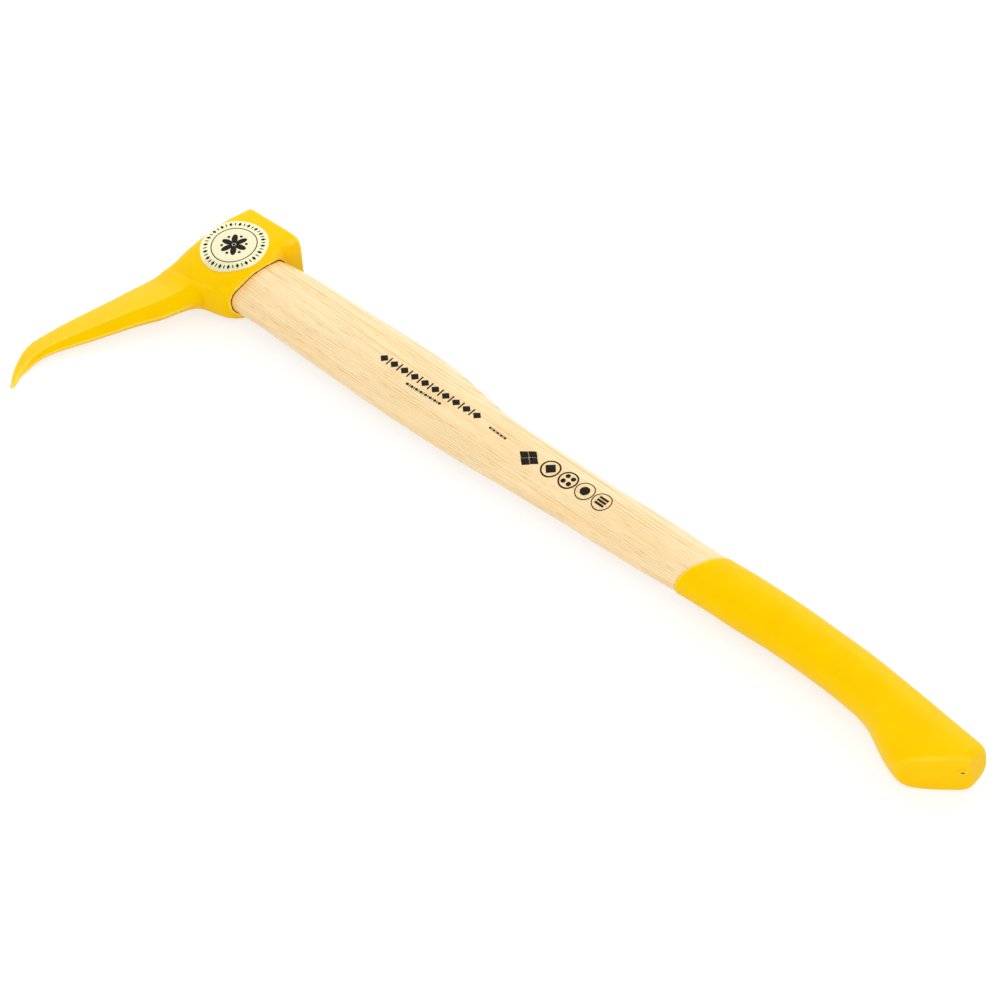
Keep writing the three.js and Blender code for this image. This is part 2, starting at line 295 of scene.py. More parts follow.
def plate_faces(rows: int, columns: int, wrap: bool) -> Faces:
    """The faces of a thin closed plate between two grids of points, the lower one first.

    Args:
        rows: The rows of each grid.
        columns: Its columns.
        wrap: Whether the last column joins the first one.

    Returns:
        The faces.
    """
    number, size = numbered(rows, columns), rows * columns
    if not wrap:
        number = number[:, :-1]
    rims = [number[0], number[-1, ::-1]] + ([] if wrap else [number[::-1, 0], number[:, -1]])
    faces = quads(number + size) + quads(number[::-1])
    for rim in rims:
        faces += quads(np.stack([rim, rim + size]))
    return faces


def read_vectors(items: bpy.types.bpy_prop_collection, name: str) -> Array:
    """Reads a vector from each item of a mesh.

    Args:
        items: The mesh's corners or their normals.
        name: The vector's name.

    Returns:
        One row for each item.
    """
    found = np.zeros(len(items) * 3, np.float32)
    items.foreach_get(name, found)
    return found.reshape(-1, 3).astype(float)


def mark_edges(piece: Object, rounds: int) -> None:
    """Stores how sharply a piece bends at each corner, above 0 on edges and below 0 in hollows.

    Args:
        piece: The object. It gets the point attribute EDGE, one over the radius in millimetres.
        rounds: How many times the values are evened out with their neighbours.
    """
    points = read_vectors(piece.data.vertices, "co") / MM
    normals = read_vectors(piece.data.vertex_normals, "vector")
    ends = np.zeros(len(piece.data.edges) * 2, np.int32)
    piece.data.edges.foreach_get("vertices", ends)
    a, b = ends.reshape(-1, 2).T
    here, there = np.concatenate([a, b]), np.concatenate([b, a])
    apart = points[here] - points[there]
    bend = 2 * (apart * normals[here]).sum(1) / np.maximum((apart**2).sum(1), SHORTEST)
    count = np.maximum(np.bincount(here, minlength=len(points)), 1)
    value = np.bincount(here, bend, len(points)) / count
    for _ in range(rounds):
        value = (value + np.bincount(here, value[there], len(points)) / count) / 2
    piece.data.attributes.new(EDGE, "FLOAT", "POINT").data.foreach_set("value", value.astype(np.float32))


def modify(piece: Object, kind: str, **settings: object) -> None:
    """Puts the effect of one modifier into a piece's mesh.

    Args:
        piece: The object.
        kind: The modifier's type, such as "REMESH".
        settings: The modifier's attributes.
    """
    modifier = piece.modifiers.new(kind, kind)
    for key, value in settings.items():
        setattr(modifier, key, value)
    graph = bpy.context.evaluated_depsgraph_get()
    mesh = bpy.data.meshes.new_from_object(piece.evaluated_get(graph))
    old = piece.data
    piece.modifiers.clear()
    piece.data = mesh
    bpy.data.meshes.remove(old)
    mesh.polygons.foreach_set("use_smooth", [True] * len(mesh.polygons))
    mesh.name = piece.name


def cut(piece: Object, cutter: Object) -> None:
    """Takes the cutter's space out of a piece and removes the cutter."""
    modify(piece, "BOOLEAN", operation="DIFFERENCE", solver="EXACT", object=cutter)
    bpy.data.objects.remove(cutter)


class Surface:
    """A piece's surface, read before the piece is laid down."""

    def __init__(self, piece: Object) -> None:
        """Reads the piece's mesh."""
        corners = [v.co / MM for v in piece.data.vertices]
        self.tree = BVHTree.FromPolygons(corners, [tuple(p.vertices) for p in piece.data.polygons])

    def over(self, flat: Array, height: float) -> Array:
        """Lays points over the labelled side, seen down the straight frame's Z.

        Args:
            flat: X and Y of each point.
            height: How far over the surface, in millimetres, along its normal.

        Returns:
            The points, with three coordinates each.
        """
        found = []
        for x, y in flat.reshape(-1, 2).tolist():
            place, normal, _, _ = self.tree.ray_cast(Vector((x, y, CLEAR)), Vector(-SIDE))
            found.append(place + normal * height if place else Vector((x, y, 0.0)))
        return np.array(found, float).reshape(*flat.shape[:-1], 3)

    def foot_at(self, places: Array) -> Array:
        """How far down the handle the surface reaches at places, given as rows of Y and Z."""
        return np.array([self.tree.ray_cast(Vector((CLEAR, *p)), Vector(-DOWN))[0].x for p in places])


# Finishes


def srgb(code: str) -> tuple[float, float, float, float]:
    """Turns an sRGB hex code such as "#fdcb02" into a linear colour.

    Args:
        code: Six hex digits after a hash.

    Returns:
        Red, green and blue from 0 to 1 and an alpha of 1.
    """
    parts = [int(code[i : i + 2], 16) / 255 for i in (1, 3, 5)]
    linear = [p / 12.92 if p <= 0.04045 else ((p + 0.055) / 1.055) ** 2.4 for p in parts]
    return (*linear, 1.0)


def per_metre(size: float) -> float:
    """The scale of a pattern whose size is given in millimetres."""
    return 1 / (size * MM)


def feed(tree: Tree, node: bpy.types.Node, inputs: Inputs | tuple) -> None:
    """Sets a node's inputs.

    Args:
        tree: The node's tree.
        node: The node.
        inputs: Values, or sockets to link, in the order of the node's inputs or by their names or numbers.
    """
    for key, value in inputs.items() if isinstance(inputs, dict) else enumerate(inputs):
        if isinstance(value, Socket):
            tree.links.new(value, node.inputs[key])
        else:
            node.inputs[key].default_value = value


def add_node(
    tree: Tree,
    kind: str,
    inputs: Inputs | tuple = (),
    out: str | int = 0,
    stops: Stops = (),
    **settings: object,
) -> Socket:
    """Adds one node with its settings, values and links.

    Args:
        tree: The tree that the node goes into.
        kind: The node's type, such as "TexNoise" for ShaderNodeTexNoise.
        inputs: Values, or sockets to link, as for feed.
        out: The name or number of the output that is wanted.
        stops: For a colour ramp, places from 0 to 1 with their sRGB hex codes.
        settings: The node's attributes.

    Returns:
        The output.
    """
    node = tree.nodes.new("ShaderNode" + kind)
    for key, value in settings.items():
        setattr(node, key, value)
    feed(tree, node, inputs)
    for k, (place, code) in enumerate(stops):
        elements = node.color_ramp.elements
        element = elements[k] if k < len(elements) else elements.new(place)
        element.position, element.color = place, srgb(code)
    return node.outputs[out]


@dataclass(frozen=True)
class Finish:
    """A material whose nodes feed one Principled shader."""

    name: str

    def look(self, tree: Tree, place: Socket) -> Inputs:
        """Adds the finish's nodes.

        Args:
            tree: The material's tree.
            place: A point's place in the straight frame, in metres.

        Returns:
            What goes into the shader's inputs.
        """
        raise NotImplementedError

    def make(self) -> Material:
        """Makes the material.

        Returns:
            The material.
        """
        material = bpy.data.materials.new(self.name)
        material.use_nodes = True
        tree = material.node_tree
        place = add_node(tree, "TexCoord", out="Object", object=StraightFrame().marker())
        feed(tree, tree.nodes["Principled BSDF"], self.look(tree, place))
        return material

    def mottle(self, tree: Tree, place: Socket, size: float, detail: float, stops: Stops) -> list[Socket]:
        """Adds soft patches of near tones.

        Args:
            tree: The material's tree.
            place: A point's place.
            size: How wide a patch is, in millimetres.
            detail: How ragged the patches are.
            stops: The tones, as the stops of a ramp.

        Returns:
            The patches' noise, from 0 to 1, and their tone.
        """
        patches = add_node(tree, "TexNoise", {"Vector": place, "Scale": per_metre(size), "Detail": detail})
        return [patches, add_node(tree, "ValToRGB", (patches,), stops=stops)]

    def streaks(self, tree: Tree, place: Socket, width: float, length: float, detail: float = 1.0) -> Socket:
        """Adds noise in long streaks down the handle.

        Args:
            tree: The material's tree.
            place: A point's place.
            width: How wide a streak is, in millimetres.
            length: How long it is.
            detail: How ragged the streaks are.

        Returns:
            The noise, from 0 to 1.
        """
        long = add_node(tree, "Mapping", {"Vector": place, "Scale": (width / length, 1.0, 1.0)})
        return add_node(tree, "TexNoise", {"Vector": long, "Scale": per_metre(width), "Detail": detail})


@dataclass(frozen=True)
class YellowLacquer(Finish):
    """Glossy yellow lacquer, sprayed on the forged head or left by the dip on the grip.

    It is opaque and saturated, with soft highlights that keep its own yellow, and a faint orange peel. Edges
    that bend within about 8 mm are painted lighter, a painted highlight, and hollows are painted darker and
    warmer, a painted shade. The bends are one over a radius in millimetres.
    """

    colour: str = "#fccb01"
    thick: str = "#fdce02"
    thin: str = "#fbc800"
    edge: str = "#ffe45c"
    edge_bend: Range = (0.1, 0.4)
    edge_highlight_most: float = 0.75
    hollow_shade: str = "#f6b400"
    hollow_bend: Range = (-0.015, -0.09)
    hollow_shade_most: float = 0.45
    swell_size: float = 14.0
    swell_detail: float = 3.0
    swell: Range = (0.3, 0.7)
    roughness: float = 0.42
    smoother: float = 0.04
    rougher: float = 0.05
    shine: str = "#ffd21a"
    shine_level: float = 0.12
    peel_size: float = 1.6
    peel_detail: float = 1.0
    peel_depth: float = 0.01
    peel_strength: float = 0.6

    def look(self, tree: Tree, place: Socket) -> Inputs:
        """Adds the lacquer's tones, its painted highlight on edges and painted shade in hollows, its peel and
        its gloss.

        Args:
            tree: The material's tree.
            place: A point's place in the straight frame.

        Returns:
            What goes into the shader's inputs.
        """
        tones = ((self.swell[0], self.thin), (0.5, self.colour), (self.swell[1], self.thick))
        swell, tone = self.mottle(tree, place, self.swell_size, self.swell_detail, tones)
        bend = add_node(tree, "Attribute", out="Fac", attribute_name=EDGE)
        # Painted highlight: edges are made lighter. Painted shade: hollows are made darker and warmer.
        for bends, most, hue in (
            (self.edge_bend, self.edge_highlight_most, self.edge),
            (self.hollow_bend, self.hollow_shade_most, self.hollow_shade),
        ):
            share = add_node(tree, "MapRange", (bend, *bends, 0.0, most))
            tone = add_node(tree, "Mix", {SHARE: share, UNDER: tone, OVER: srgb(hue)}, **MIX_COLOURS)
        grain = {"Vector": place, "Scale": per_metre(self.peel_size), "Detail": self.peel_detail}
        peel = add_node(tree, "TexNoise", grain)
        bump = {"Strength": self.peel_strength, "Distance": self.peel_depth * MM, "Height": peel}
        gloss = (self.roughness - self.smoother, self.roughness + self.rougher)
        return {
            "Base Color": tone,
            "Roughness": add_node(tree, "MapRange", (swell, *self.swell, *gloss)),
            "Normal": add_node(tree, "Bump", bump),
            "Specular Tint": srgb(self.shine),
            "Specular IOR Level": self.shine_level,
        }


@dataclass(frozen=True)
class AshWood(Finish):
    """Pale ash, planed, sanded and clear lacquered to a satin sheen.

    The growth rings show as fine lines down the handle, uneven in spacing and strength, with slow pale
    streaks and short pores between them. The pores are drawn about twice as coarse as they are, so that they
    show. The lacquer turns whitish where the wood turns away. Along the head's rim the wood is painted a
    warmer orange, as shade and the head's yellow reflection, and the inside of the hook's hole is painted
    darker, as shade.
    """

    name: str = "ash_satin_lacquer"
    early: str = "#fde3b1"
    late: str = "#e0b674"
    pith: Range = (-105.0, -105.0)
    ring_width: float = 1.15
    ring_line: Range = (0.14, 0.6)
    wander: float = 1.6
    wander_width: float = 60.0
    wander_length: float = 240.0
    wander_detail: float = 2.0
    waver: float = 0.9
    waver_width: float = 2.2
    waver_length: float = 26.0
    vigour_scale: float = 1.7
    vigour_noise: Range = (0.36, 0.64)
    vigour: Range = (0.12, 0.85)
    streak: str = "#fff1dd"
    streak_width: float = 3.0
    streak_length: float = 60.0
    streak_noise: Range = (0.42, 0.7)
    streak_most: float = 0.6
    pore: str = "#c99a5c"
    pore_width: float = 0.5
    pore_length: float = 8.0
    pore_noise: Range = (0.56, 0.74)
    pore_most: float = 0.4
    pore_depth: float = 0.02
    pore_strength: float = 0.3
    rim_across: Range = (-20.0, -8.0)
    rim_along: Range = (36.2, 38.2)
    rim_shade_reach: float = 6.0
    rim_shade_tones: Stops = ((0.0, "#f0b468"), (1.0, "#ffffff"), (0.12, "#fbd596"), (0.4, "#fff0cf"))
    hook: Place = (0.0, 0.0, 0.0)
    hook_hole_shade: str = "#3a2410"
    hook_reach: Range = (2.0, 3.5)
    roughness: float = 0.4
    shine: float = 0.25
    lacquer: float = 0.4
    lacquer_roughness: float = 0.3

    def look(self, tree: Tree, place: Socket) -> Inputs:
        """Adds the rings, streaks and pores under the lacquer, and the painted shade along the head's rim and
        in the hook's hole.

        Args:
            tree: The material's tree.
            place: A point's place in the straight frame.

        Returns:
            What goes into the shader's inputs.
        """
        streaks = self.streaks(tree, place, self.streak_width, self.streak_length)
        amount = add_node(tree, "MapRange", (streaks, *self.streak_noise, 0.0, self.streak_most))
        under = {SHARE: amount, UNDER: self.rings(tree, place), OVER: srgb(self.streak)}
        warm = add_node(tree, "Mix", under, **MIX_COLOURS, blend_type="MULTIPLY")
        pores = self.streaks(tree, place, self.pore_width, self.pore_length)
        dark = add_node(tree, "MapRange", (pores, *self.pore_noise, 0.0, self.pore_most))
        wood = add_node(tree, "Mix", {SHARE: dark, UNDER: warm, OVER: srgb(self.pore)}, **MIX_COLOURS)
        bump = {"Strength": self.pore_strength, "Distance": self.pore_depth * MM, "Height": dark}
        return {
            "Base Color": self.painted_shades(tree, place, wood),
            "Normal": add_node(tree, "Bump", bump, invert=True),
            "Roughness": self.roughness,
            "Specular IOR Level": self.shine,
            "Coat Weight": self.lacquer,
            "Coat Roughness": self.lacquer_roughness,
        }

    def rings(self, tree: Tree, place: Socket) -> Socket:
        """Adds the growth rings: pale early wood and a darker line of late wood for each year.

        Args:
            tree: The material's tree.
            place: A point's place.

        Returns:
            The wood's tone.
        """
        pith = (0.0, self.pith[0] * MM, self.pith[1] * MM)
        from_pith = add_node(tree, "VectorMath", (place, pith), operation="SUBTRACT")
        across = add_node(tree, "VectorMath", (from_pith, (0.0, 1.0, 1.0)), operation="MULTIPLY")
        radius = add_node(tree, "VectorMath", (across,), "Value", operation="LENGTH")
        drift = self.streaks(tree, place, self.wander_width, self.wander_length, self.wander_detail)
        waver = self.streaks(tree, place, self.waver_width, self.waver_length)
        for bent, reach in ((drift, self.wander), (waver, self.waver)):
            radius = add_node(tree, "Math", (bent, reach * MM, radius), operation="MULTIPLY_ADD")
        year = add_node(tree, "Math", (radius, self.ring_width * MM), operation="DIVIDE")
        season = add_node(tree, "Math", (year,), operation="FRACT")
        start, end = self.ring_line
        tones = ((0.0, "#ffffff"), (1.0, "#ffffff"), (start, "#000000"), (end, "#000000"))
        line = add_node(tree, "ValToRGB", (season,), stops=tones)
        grown = [self.vigour_scale * size for size in (self.waver_width, self.waver_length)]
        vigour = self.streaks(tree, place, *grown)
        strength = add_node(tree, "MapRange", (vigour, *self.vigour_noise, *self.vigour))
        late = add_node(tree, "Math", (line, strength), operation="MULTIPLY")
        tones = {SHARE: late, UNDER: srgb(self.early), OVER: srgb(self.late)}
        return add_node(tree, "Mix", tones, **MIX_COLOURS)

    def painted_shades(self, tree: Tree, place: Socket, wood: Socket) -> Socket:
        """Adds painted shade: warmer orange wood along the head's rim and darker wood in the hook's hole.

        Args:
            tree: The material's tree.
            place: A point's place.
            wood: The wood's tone.

        Returns:
            The tone with its painted shade.
        """
        split = add_node(tree, "SeparateXYZ", (place,)).node.outputs
        # Painted shade and painted yellow reflection: the wood grows warmer and darker within a few
        # millimetres of the head's rim.
        ends = [reach * MM for reach in (*self.rim_across, *self.rim_along)]
        rim = add_node(tree, "MapRange", (split["Y"], *ends))
        past_rim = add_node(tree, "Math", (split["X"], rim), operation="SUBTRACT")
        from_rim = add_node(tree, "Math", (past_rim,), operation="ABSOLUTE")
        share = add_node(tree, "Math", (from_rim, self.rim_shade_reach * MM), operation="DIVIDE")
        line = add_node(tree, "ValToRGB", (share,), stops=self.rim_shade_tones)
        under = {SHARE: 1.0, UNDER: wood, OVER: line}
        rim_shaded = add_node(tree, "Mix", under, **MIX_COLOURS, blend_type="MULTIPLY")
        # Painted shade: the wood inside the hook's hole is made dark.
        hook = tuple(c * MM for c in self.hook)
        away = add_node(tree, "VectorMath", (place, hook), "Value", operation="DISTANCE")
        near, far = self.hook_reach
        stain = add_node(tree, "MapRange", (away, near * MM, far * MM, 1.0, 0.0))
        return add_node(tree, "Mix", {SHARE: stain, UNDER: rim_shaded, OVER: srgb(self.hook_hole_shade)}, **MIX_COLOURS)


@dataclass(frozen=True)
class BeechEndGrain(Finish):
    """Bare beech cut off flush: a dull warm brown with short dark flecks and fine pores."""

    name: str = "beech_end_grain"
    tones: Stops = ((0.3, "#b98d58"), (0.6, "#d8b483"))
    fleck: float = 0.8
    fleck_detail: float = 3.0
    fleck_stretch: Place = (0.4, 1.0, 0.35)
    fleck_depth: float = 0.05
    fleck_strength: float = 0.5
    roughness: float = 0.7

    def look(self, tree: Tree, place: Socket) -> Inputs:
        """Adds the flecks of the end grain.

        Args:
            tree: The material's tree.
            place: A point's place in the straight frame.

        Returns:
            What goes into the shader's inputs.
        """
        drawn_out = add_node(tree, "Mapping", {"Vector": place, "Scale": self.fleck_stretch})
        grain, tone = self.mottle(tree, drawn_out, self.fleck, self.fleck_detail, self.tones)
        bump = {"Strength": self.fleck_strength, "Distance": self.fleck_depth * MM, "Height": grain}
        return {"Base Color": tone, "Normal": add_node(tree, "Bump", bump), "Roughness": self.roughness}


@dataclass(frozen=True)
class BareSteel(Finish):
    """Mild steel tube, left bare: grey, drawn and lightly brushed, with a little handling stain."""

    name: str = "bare_drawn_steel"
    tones: Stops = ((0.35, "#8c8b88"), (0.6, "#b4b5b6"))
    stain: float = 2.5
    stain_detail: float = 4.0
    stain_noise: Range = (0.3, 0.7)
    roughness: Range = (0.5, 0.32)

    def look(self, tree: Tree, place: Socket) -> Inputs:
        """Adds the stain, which is rougher than the clean steel.

        Args:
            tree: The material's tree.
            place: A point's place in the straight frame.

        Returns:
            What goes into the shader's inputs.
        """
        stain, tone = self.mottle(tree, place, self.stain, self.stain_detail, self.tones)
        rough = add_node(tree, "MapRange", (stain, *self.stain_noise, *self.roughness))
        return {"Base Color": tone, "Roughness": rough, "Metallic": 1.0}


@dataclass(frozen=True)
class DarkFinish(Finish):
    """Dark brown, almost black in its darker patches, with a dull shine: painted shade where it lines a
    joint.
    """

    name: str = "painted_joint_shade"
    tones: Stops = ((0.35, "#521c00"), (0.7, "#8f4e08"))
    blotch: float = 1.5
    blotch_detail: float = 2.0
    roughness: float = 0.5
    shine: float = 0.08

    def look(self, tree: Tree, place: Socket) -> Inputs:
        """Adds the dark patches.

        Args:
            tree: The material's tree.
            place: A point's place in the straight frame.

        Returns:
            What goes into the shader's inputs.
        """
        tone = self.mottle(tree, place, self.blotch, self.blotch_detail, self.tones)[1]
        return {"Base Color": tone, "Roughness": self.roughness, "Specular IOR Level": self.shine}


@dataclass(frozen=True)
class PrintInk(DarkFinish):
    """Dark screen ink: nearly black, slightly warm, a little thinner in places."""

    name: str = "dark_screen_ink"
    tones: Stops = ((0.45, "#15110d"), (0.75, "#2c251d"))
    blotch: float = 0.5
    roughness: float = 0.6
    shine: float = 0.12


@dataclass(frozen=True)
class LabelFilm(Finish):
    """Cream vinyl film with a satin face, a little darker in its ring, with painted shade greying one side.
    """

    name: str = "cream_vinyl_film"
    colour: str = "#f8f3c6"
    inside: str = "#f3ecc4"
    centre: Range = (0.0, 0.0)
    ring: Range = (11.0, 12.0)
    side_shade: str = "#e0d7aa"
    shade_side: Place = (0.45, -0.9, 0.0)
    shade_from: Range = (13.0, 19.0)
    shade_most: float = 0.8
    cloud: float = 5.0
    cloud_detail: float = 3.0
    cloud_reach: float = 8.0
    emboss: float = 0.6
    emboss_detail: float = 2.0
    emboss_depth: float = 0.01
    emboss_strength: float = 0.4
    roughness: float = 0.42

    def look(self, tree: Tree, place: Socket) -> Inputs:
        """Adds the field, the painted shade on one side and the film's fine texture.

        Args:
            tree: The material's tree.
            place: A point's place in the straight frame.

        Returns:
            What goes into the shader's inputs.
        """
        back = (-self.centre[0] * MM, -self.centre[1] * MM, 0.0)
        flat = add_node(tree, "VectorMath", (place, (1.0, 1.0, 0.0), back), operation="MULTIPLY_ADD")
        away = add_node(tree, "VectorMath", (flat,), "Value", operation="LENGTH")
        border = add_node(tree, "MapRange", (away, *(r * MM for r in self.ring)))
        soft = {"Vector": place, "Scale": per_metre(self.cloud), "Detail": self.cloud_detail}
        cloud = add_node(tree, "TexNoise", soft)
        # Painted shade: the film greys towards one side, where it turns away from the light.
        lean = add_node(tree, "VectorMath", (flat, self.shade_side), "Value", operation="DOT_PRODUCT")
        shading = add_node(tree, "Math", (cloud, self.cloud_reach * MM, lean), operation="MULTIPLY_ADD")
        shaded_share = add_node(tree, "MapRange", (shading, *(r * MM for r in self.shade_from), 0.0, self.shade_most))
        tone = srgb(self.inside)
        for share, hue in ((border, self.colour), (shaded_share, self.side_shade)):
            tone = add_node(tree, "Mix", {SHARE: share, UNDER: tone, OVER: srgb(hue)}, **MIX_COLOURS)
        grain = {"Vector": place, "Scale": per_metre(self.emboss), "Detail": self.emboss_detail}
        fine = add_node(tree, "TexNoise", grain)
        bump = {"Strength": self.emboss_strength, "Distance": self.emboss_depth * MM, "Height": fine}
        return {"Base Color": tone, "Normal": add_node(tree, "Bump", bump), "Roughness": self.roughness}


def dress(piece: Object, material: Material, slot: str | None, *nodes: str) -> None:
    """Lays a piece on the table, gives it its material and hides the CAD nodes that it stands for.

    Args:
        piece: The object.
        material: Its finish.
        slot: The record's material slot, where it has one. Not used.
        nodes: The CAD nodes that it stands for.
    """
    if piece.material_slots:
        piece.material_slots[0].material = material
    else:
        piece.data.materials.append(material)
    if "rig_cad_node" not in piece:
        piece.data.transform(StraightFrame().to_table())
        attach(piece, ROOT)
    if nodes:
        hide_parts(*nodes)
    log.info("%s: %d faces, %s", piece.name, len(piece.data.polygons), material.name)


# Head


@dataclass(frozen=True)
class Head:
    """The forged head: the block round the eye, the flat poll and the curved spike.

    Its foot reaches lower along the cheeks over the eye, and at the poll's corner on the labelled side.
    """

    height: float = 39.5
    cheek_width: float = 32.0
    poll_width: float = 28.4
    poll_top_width: float = 24.2
    poll_reach: float = 26.6
    poll_drop: float = 2.9
    poll_lift: float = 0.4
    nose_reach: float = 23.8
    spike_run: float = 102.0
    spike_rise: float = 23.2
    spike_root_depth: float = 36.0
    spike_root_width: float = 20.0
    crest_share: float = 0.78
    crest_squareness: float = 1.2
    poll_squareness: float = 12.0
    foot_squareness: float = 9.0
    foot_drop: float = 1.5
    cheek_from: Range = (-20.0, -12.0)
    cheek_to: Range = (9.0, 17.0)
    cheek_shares: Range = (0.45, 0.72)
    corner_from: Range = (16.0, 23.0)
    corner_shares: Range = (-0.7, 0.5)
    nose_draw: float = 1.0
    side_draw: float = 0.4
    draw_from: float = 28.0
    draw_rings: int = 8
    eye_length: float = 36.0
    eye_width: float = 24.4
    eye_setback: float = 1.6
    eye_flare: float = 1.6
    eye_squareness: float = 2.3
    overrun: float = 4.0
    stations: int = 240
    fine_sides: int = 720
    sides: int = 128
    voxel: float = 0.45
    softness: int = 4
    smoothing: float = 0.5
    hammer_size: float = 11.0
    hammer_depth: float = 0.2
    hammer_seed: Place = (3.1, 2.17, -3.1)
    edge_rounds: int = 9
    # Run from the nose, rise, depth and width.
    spike_shares: Rows = (
        (0.045, 0.315, 0.82, 0.82),
        (0.09, 0.36, 0.814, 0.77),
        (0.2, 0.475, 0.774, 0.7),
        (0.32, 0.595, 0.662, 0.615),
        (0.44, 0.727, 0.592, 0.54),
        (0.56, 0.85, 0.512, 0.46),
        (0.68, 0.945, 0.41, 0.37),
        (0.74, 0.97, 0.367, 0.325),
        (0.8, 0.92, 0.31, 0.28),
        (0.86, 0.8, 0.25, 0.23),
        (0.92, 0.64, 0.17, 0.17),
        (0.968, 0.465, 0.12, 0.12),
        (1.0, 0.34, 0.05, 0.06),
    )
    # Run from the nose, top, foot, width and squareness.
    block_shares: Rows = (
        (-0.04, -2.35, 0.6, 0.55, 2.0),
        (-0.01, -2.08, 0.69, 0.57, 2.3),
        (0.03, -1.72, 0.835, 0.63, 2.8),
        (0.1, -1.1, 0.94, 0.76, 3.6),
        (0.25, -0.3, 0.985, 0.94, 5.0),
        (0.5, 0.22, 1.0, 1.0, 6.5),
        (0.75, 0.6, 1.0, 0.98, 8.0),
        (0.9, 0.8, 1.0, 0.94, 10.0),
    )

    def rows(self) -> Rows:
        """Works out the stations from the tip to the poll.

        Returns:
            For each its place along Y, top, foot, width and squareness.
        """
        rows = []
        for run, rise, depth, width in self.spike_shares[::-1]:
            place, back = -self.nose_reach - run * self.spike_run, -rise * self.spike_rise
            foot = back + depth * self.spike_root_depth
            rows.append([place, back, foot, width * self.spike_root_width, self.crest_squareness])
        rows[-1][4] = (self.crest_squareness + self.block_shares[0][4]) / 2
        for run, top, foot_share, width, squareness in self.block_shares:
            place = run * (self.nose_reach + self.poll_reach) - self.nose_reach
            foot = foot_share * self.height - max(run, 0) * self.poll_lift
            rows.append([place, top * self.poll_drop, foot, width * self.cheek_width, squareness])
        foot = self.height - self.poll_lift
        rows.append([self.poll_reach, self.poll_drop, foot, self.poll_width, self.poll_squareness])
        return tuple(tuple(r) for r in rows)

    def outline(self, y: Array, angles: Array) -> Array:
        """Rings of the blank along the spike and the block.

        Args:
            y: Places along Y, one for each ring.
            angles: Angles round a ring.

        Returns:
            Points, shaped (rings, angles, 3).
        """
        found = read_table(self.rows(), y)[:, 1:, None]
        top, foot, width, squareness = (found[:, k] for k in range(4))
        in_spike = smoothstep(-y, 0, self.nose_reach)[:, None]
        crest = lerp(top, foot, lerp(0.5, self.crest_share, in_spike))
        softer = np.minimum(squareness, self.foot_squareness)
        along, across = oval(angles, np.where(np.cos(angles) > 0, softer, squareness))
        over_eye = smoothstep(y, *self.cheek_from) * (1 - smoothstep(y, *self.cheek_to))
        low_cheek = over_eye[:, None] * smoothstep(np.abs(across), *self.cheek_shares)
        low_corner = smoothstep(y, *self.corner_from)[:, None] * smoothstep(-across, *self.corner_shares)
        low_foot = self.foot_drop * (low_cheek + low_corner)
        x = crest + along * np.where(along > 0, foot + low_foot - crest, crest - top)
        narrowing = lerp(self.top_width_share(y)[:, None], 1.0, (x - top) / (foot - top))
        return xyz(x, y[:, None], -across * width / 2 * narrowing)

    def top_width_share(self, y: Array) -> Array:
        """How wide the head is along its top, as a share of its full width."""
        in_poll = smoothstep(y, self.poll_reach / 3, self.poll_reach)
        return lerp(1.0, self.poll_top_width / self.poll_width, in_poll)

    def eye_ring(self, x: Array, angles: Array, gap: float) -> Array:
        """Ovals of the eye.

        Args:
            x: Heights down the handle, one for each oval.
            angles: Angles round an oval.
            gap: How far inside the eye's wall they lie.

        Returns:
            Points, shaped (ovals, angles, 3).
        """
        flare = self.eye_flare * (1 - x / self.height)[:, None]
        drawn = smoothstep(x, self.draw_from, self.height)[:, None]
        nose_draw = self.nose_draw / 2 * drawn
        along, across = oval(angles, self.eye_squareness)
        y = along * ((self.eye_length + flare) / 2 - gap - nose_draw) - self.eye_setback + nose_draw
        z = across * ((self.eye_width + flare) / 2 - gap - self.side_draw * drawn)
        return xyz(x[:, None], y, z)

    def top_at(self, y: Array, z: Array) -> Array:
        """How far down the handle the head's top lies over the eye.

        Args:
            y: Places along Y.
            z: Places along Z.

        Returns:
            X for each place.
        """
        found = read_table(self.rows(), y)
        top, foot, width, squareness = (found[..., k] for k in range(1, 5))
        crest = (top + foot) / 2
        inside = 1 - np.abs(2 * z / (width * self.top_width_share(y))) ** squareness
        return crest - inside ** (1 / squareness) * (crest - top)

    def build(self) -> Object:
        """Forges the blank, punches the eye, rounds the edges and leaves faint hammer marks.

        Returns:
            The head.
        """
        places = np.linspace(-self.nose_reach - self.spike_run, self.poll_reach, self.stations)
        rings = self.outline(places, ring_angles(self.fine_sides))
        piece = closed_loft("forged_head", np.stack([even_ring(r, self.sides) for r in rings]))
        low = np.linspace(self.draw_from, self.height, self.draw_rings)
        heights = np.array([-self.overrun - self.spike_rise, *low, self.height + self.overrun])
        cut(piece, closed_loft("eye_punch", self.eye_ring(heights, ring_angles(self.sides), 0.0)))
        modify(piece, "REMESH", mode="VOXEL", voxel_size=self.voxel * MM)
        modify(piece, "SMOOTH", factor=self.smoothing, iterations=self.softness)
        points = read_vectors(piece.data.vertices, "co") / MM
        shift = Vector(self.hammer_seed)
        swells = np.array([noise.noise(Vector(p) / self.hammer_size + shift) for p in points.tolist()])
        dents = ((swells - 1) / 2 * self.hammer_depth)[:, None]
        points = points + dents * read_vectors(piece.data.vertex_normals, "vector")
        piece.data.vertices.foreach_set("co", (points * MM).astype(np.float32).ravel())
        piece.data.update()
        mark_edges(piece, self.edge_rounds)
        return piece

    def dress(self, forging: Object) -> None:
        """Paints the head."""
        dress(forging, YellowLacquer("yellow_enamel_on_forged_steel").make(), "yellow_enamel", "head")


# Wedges and joint


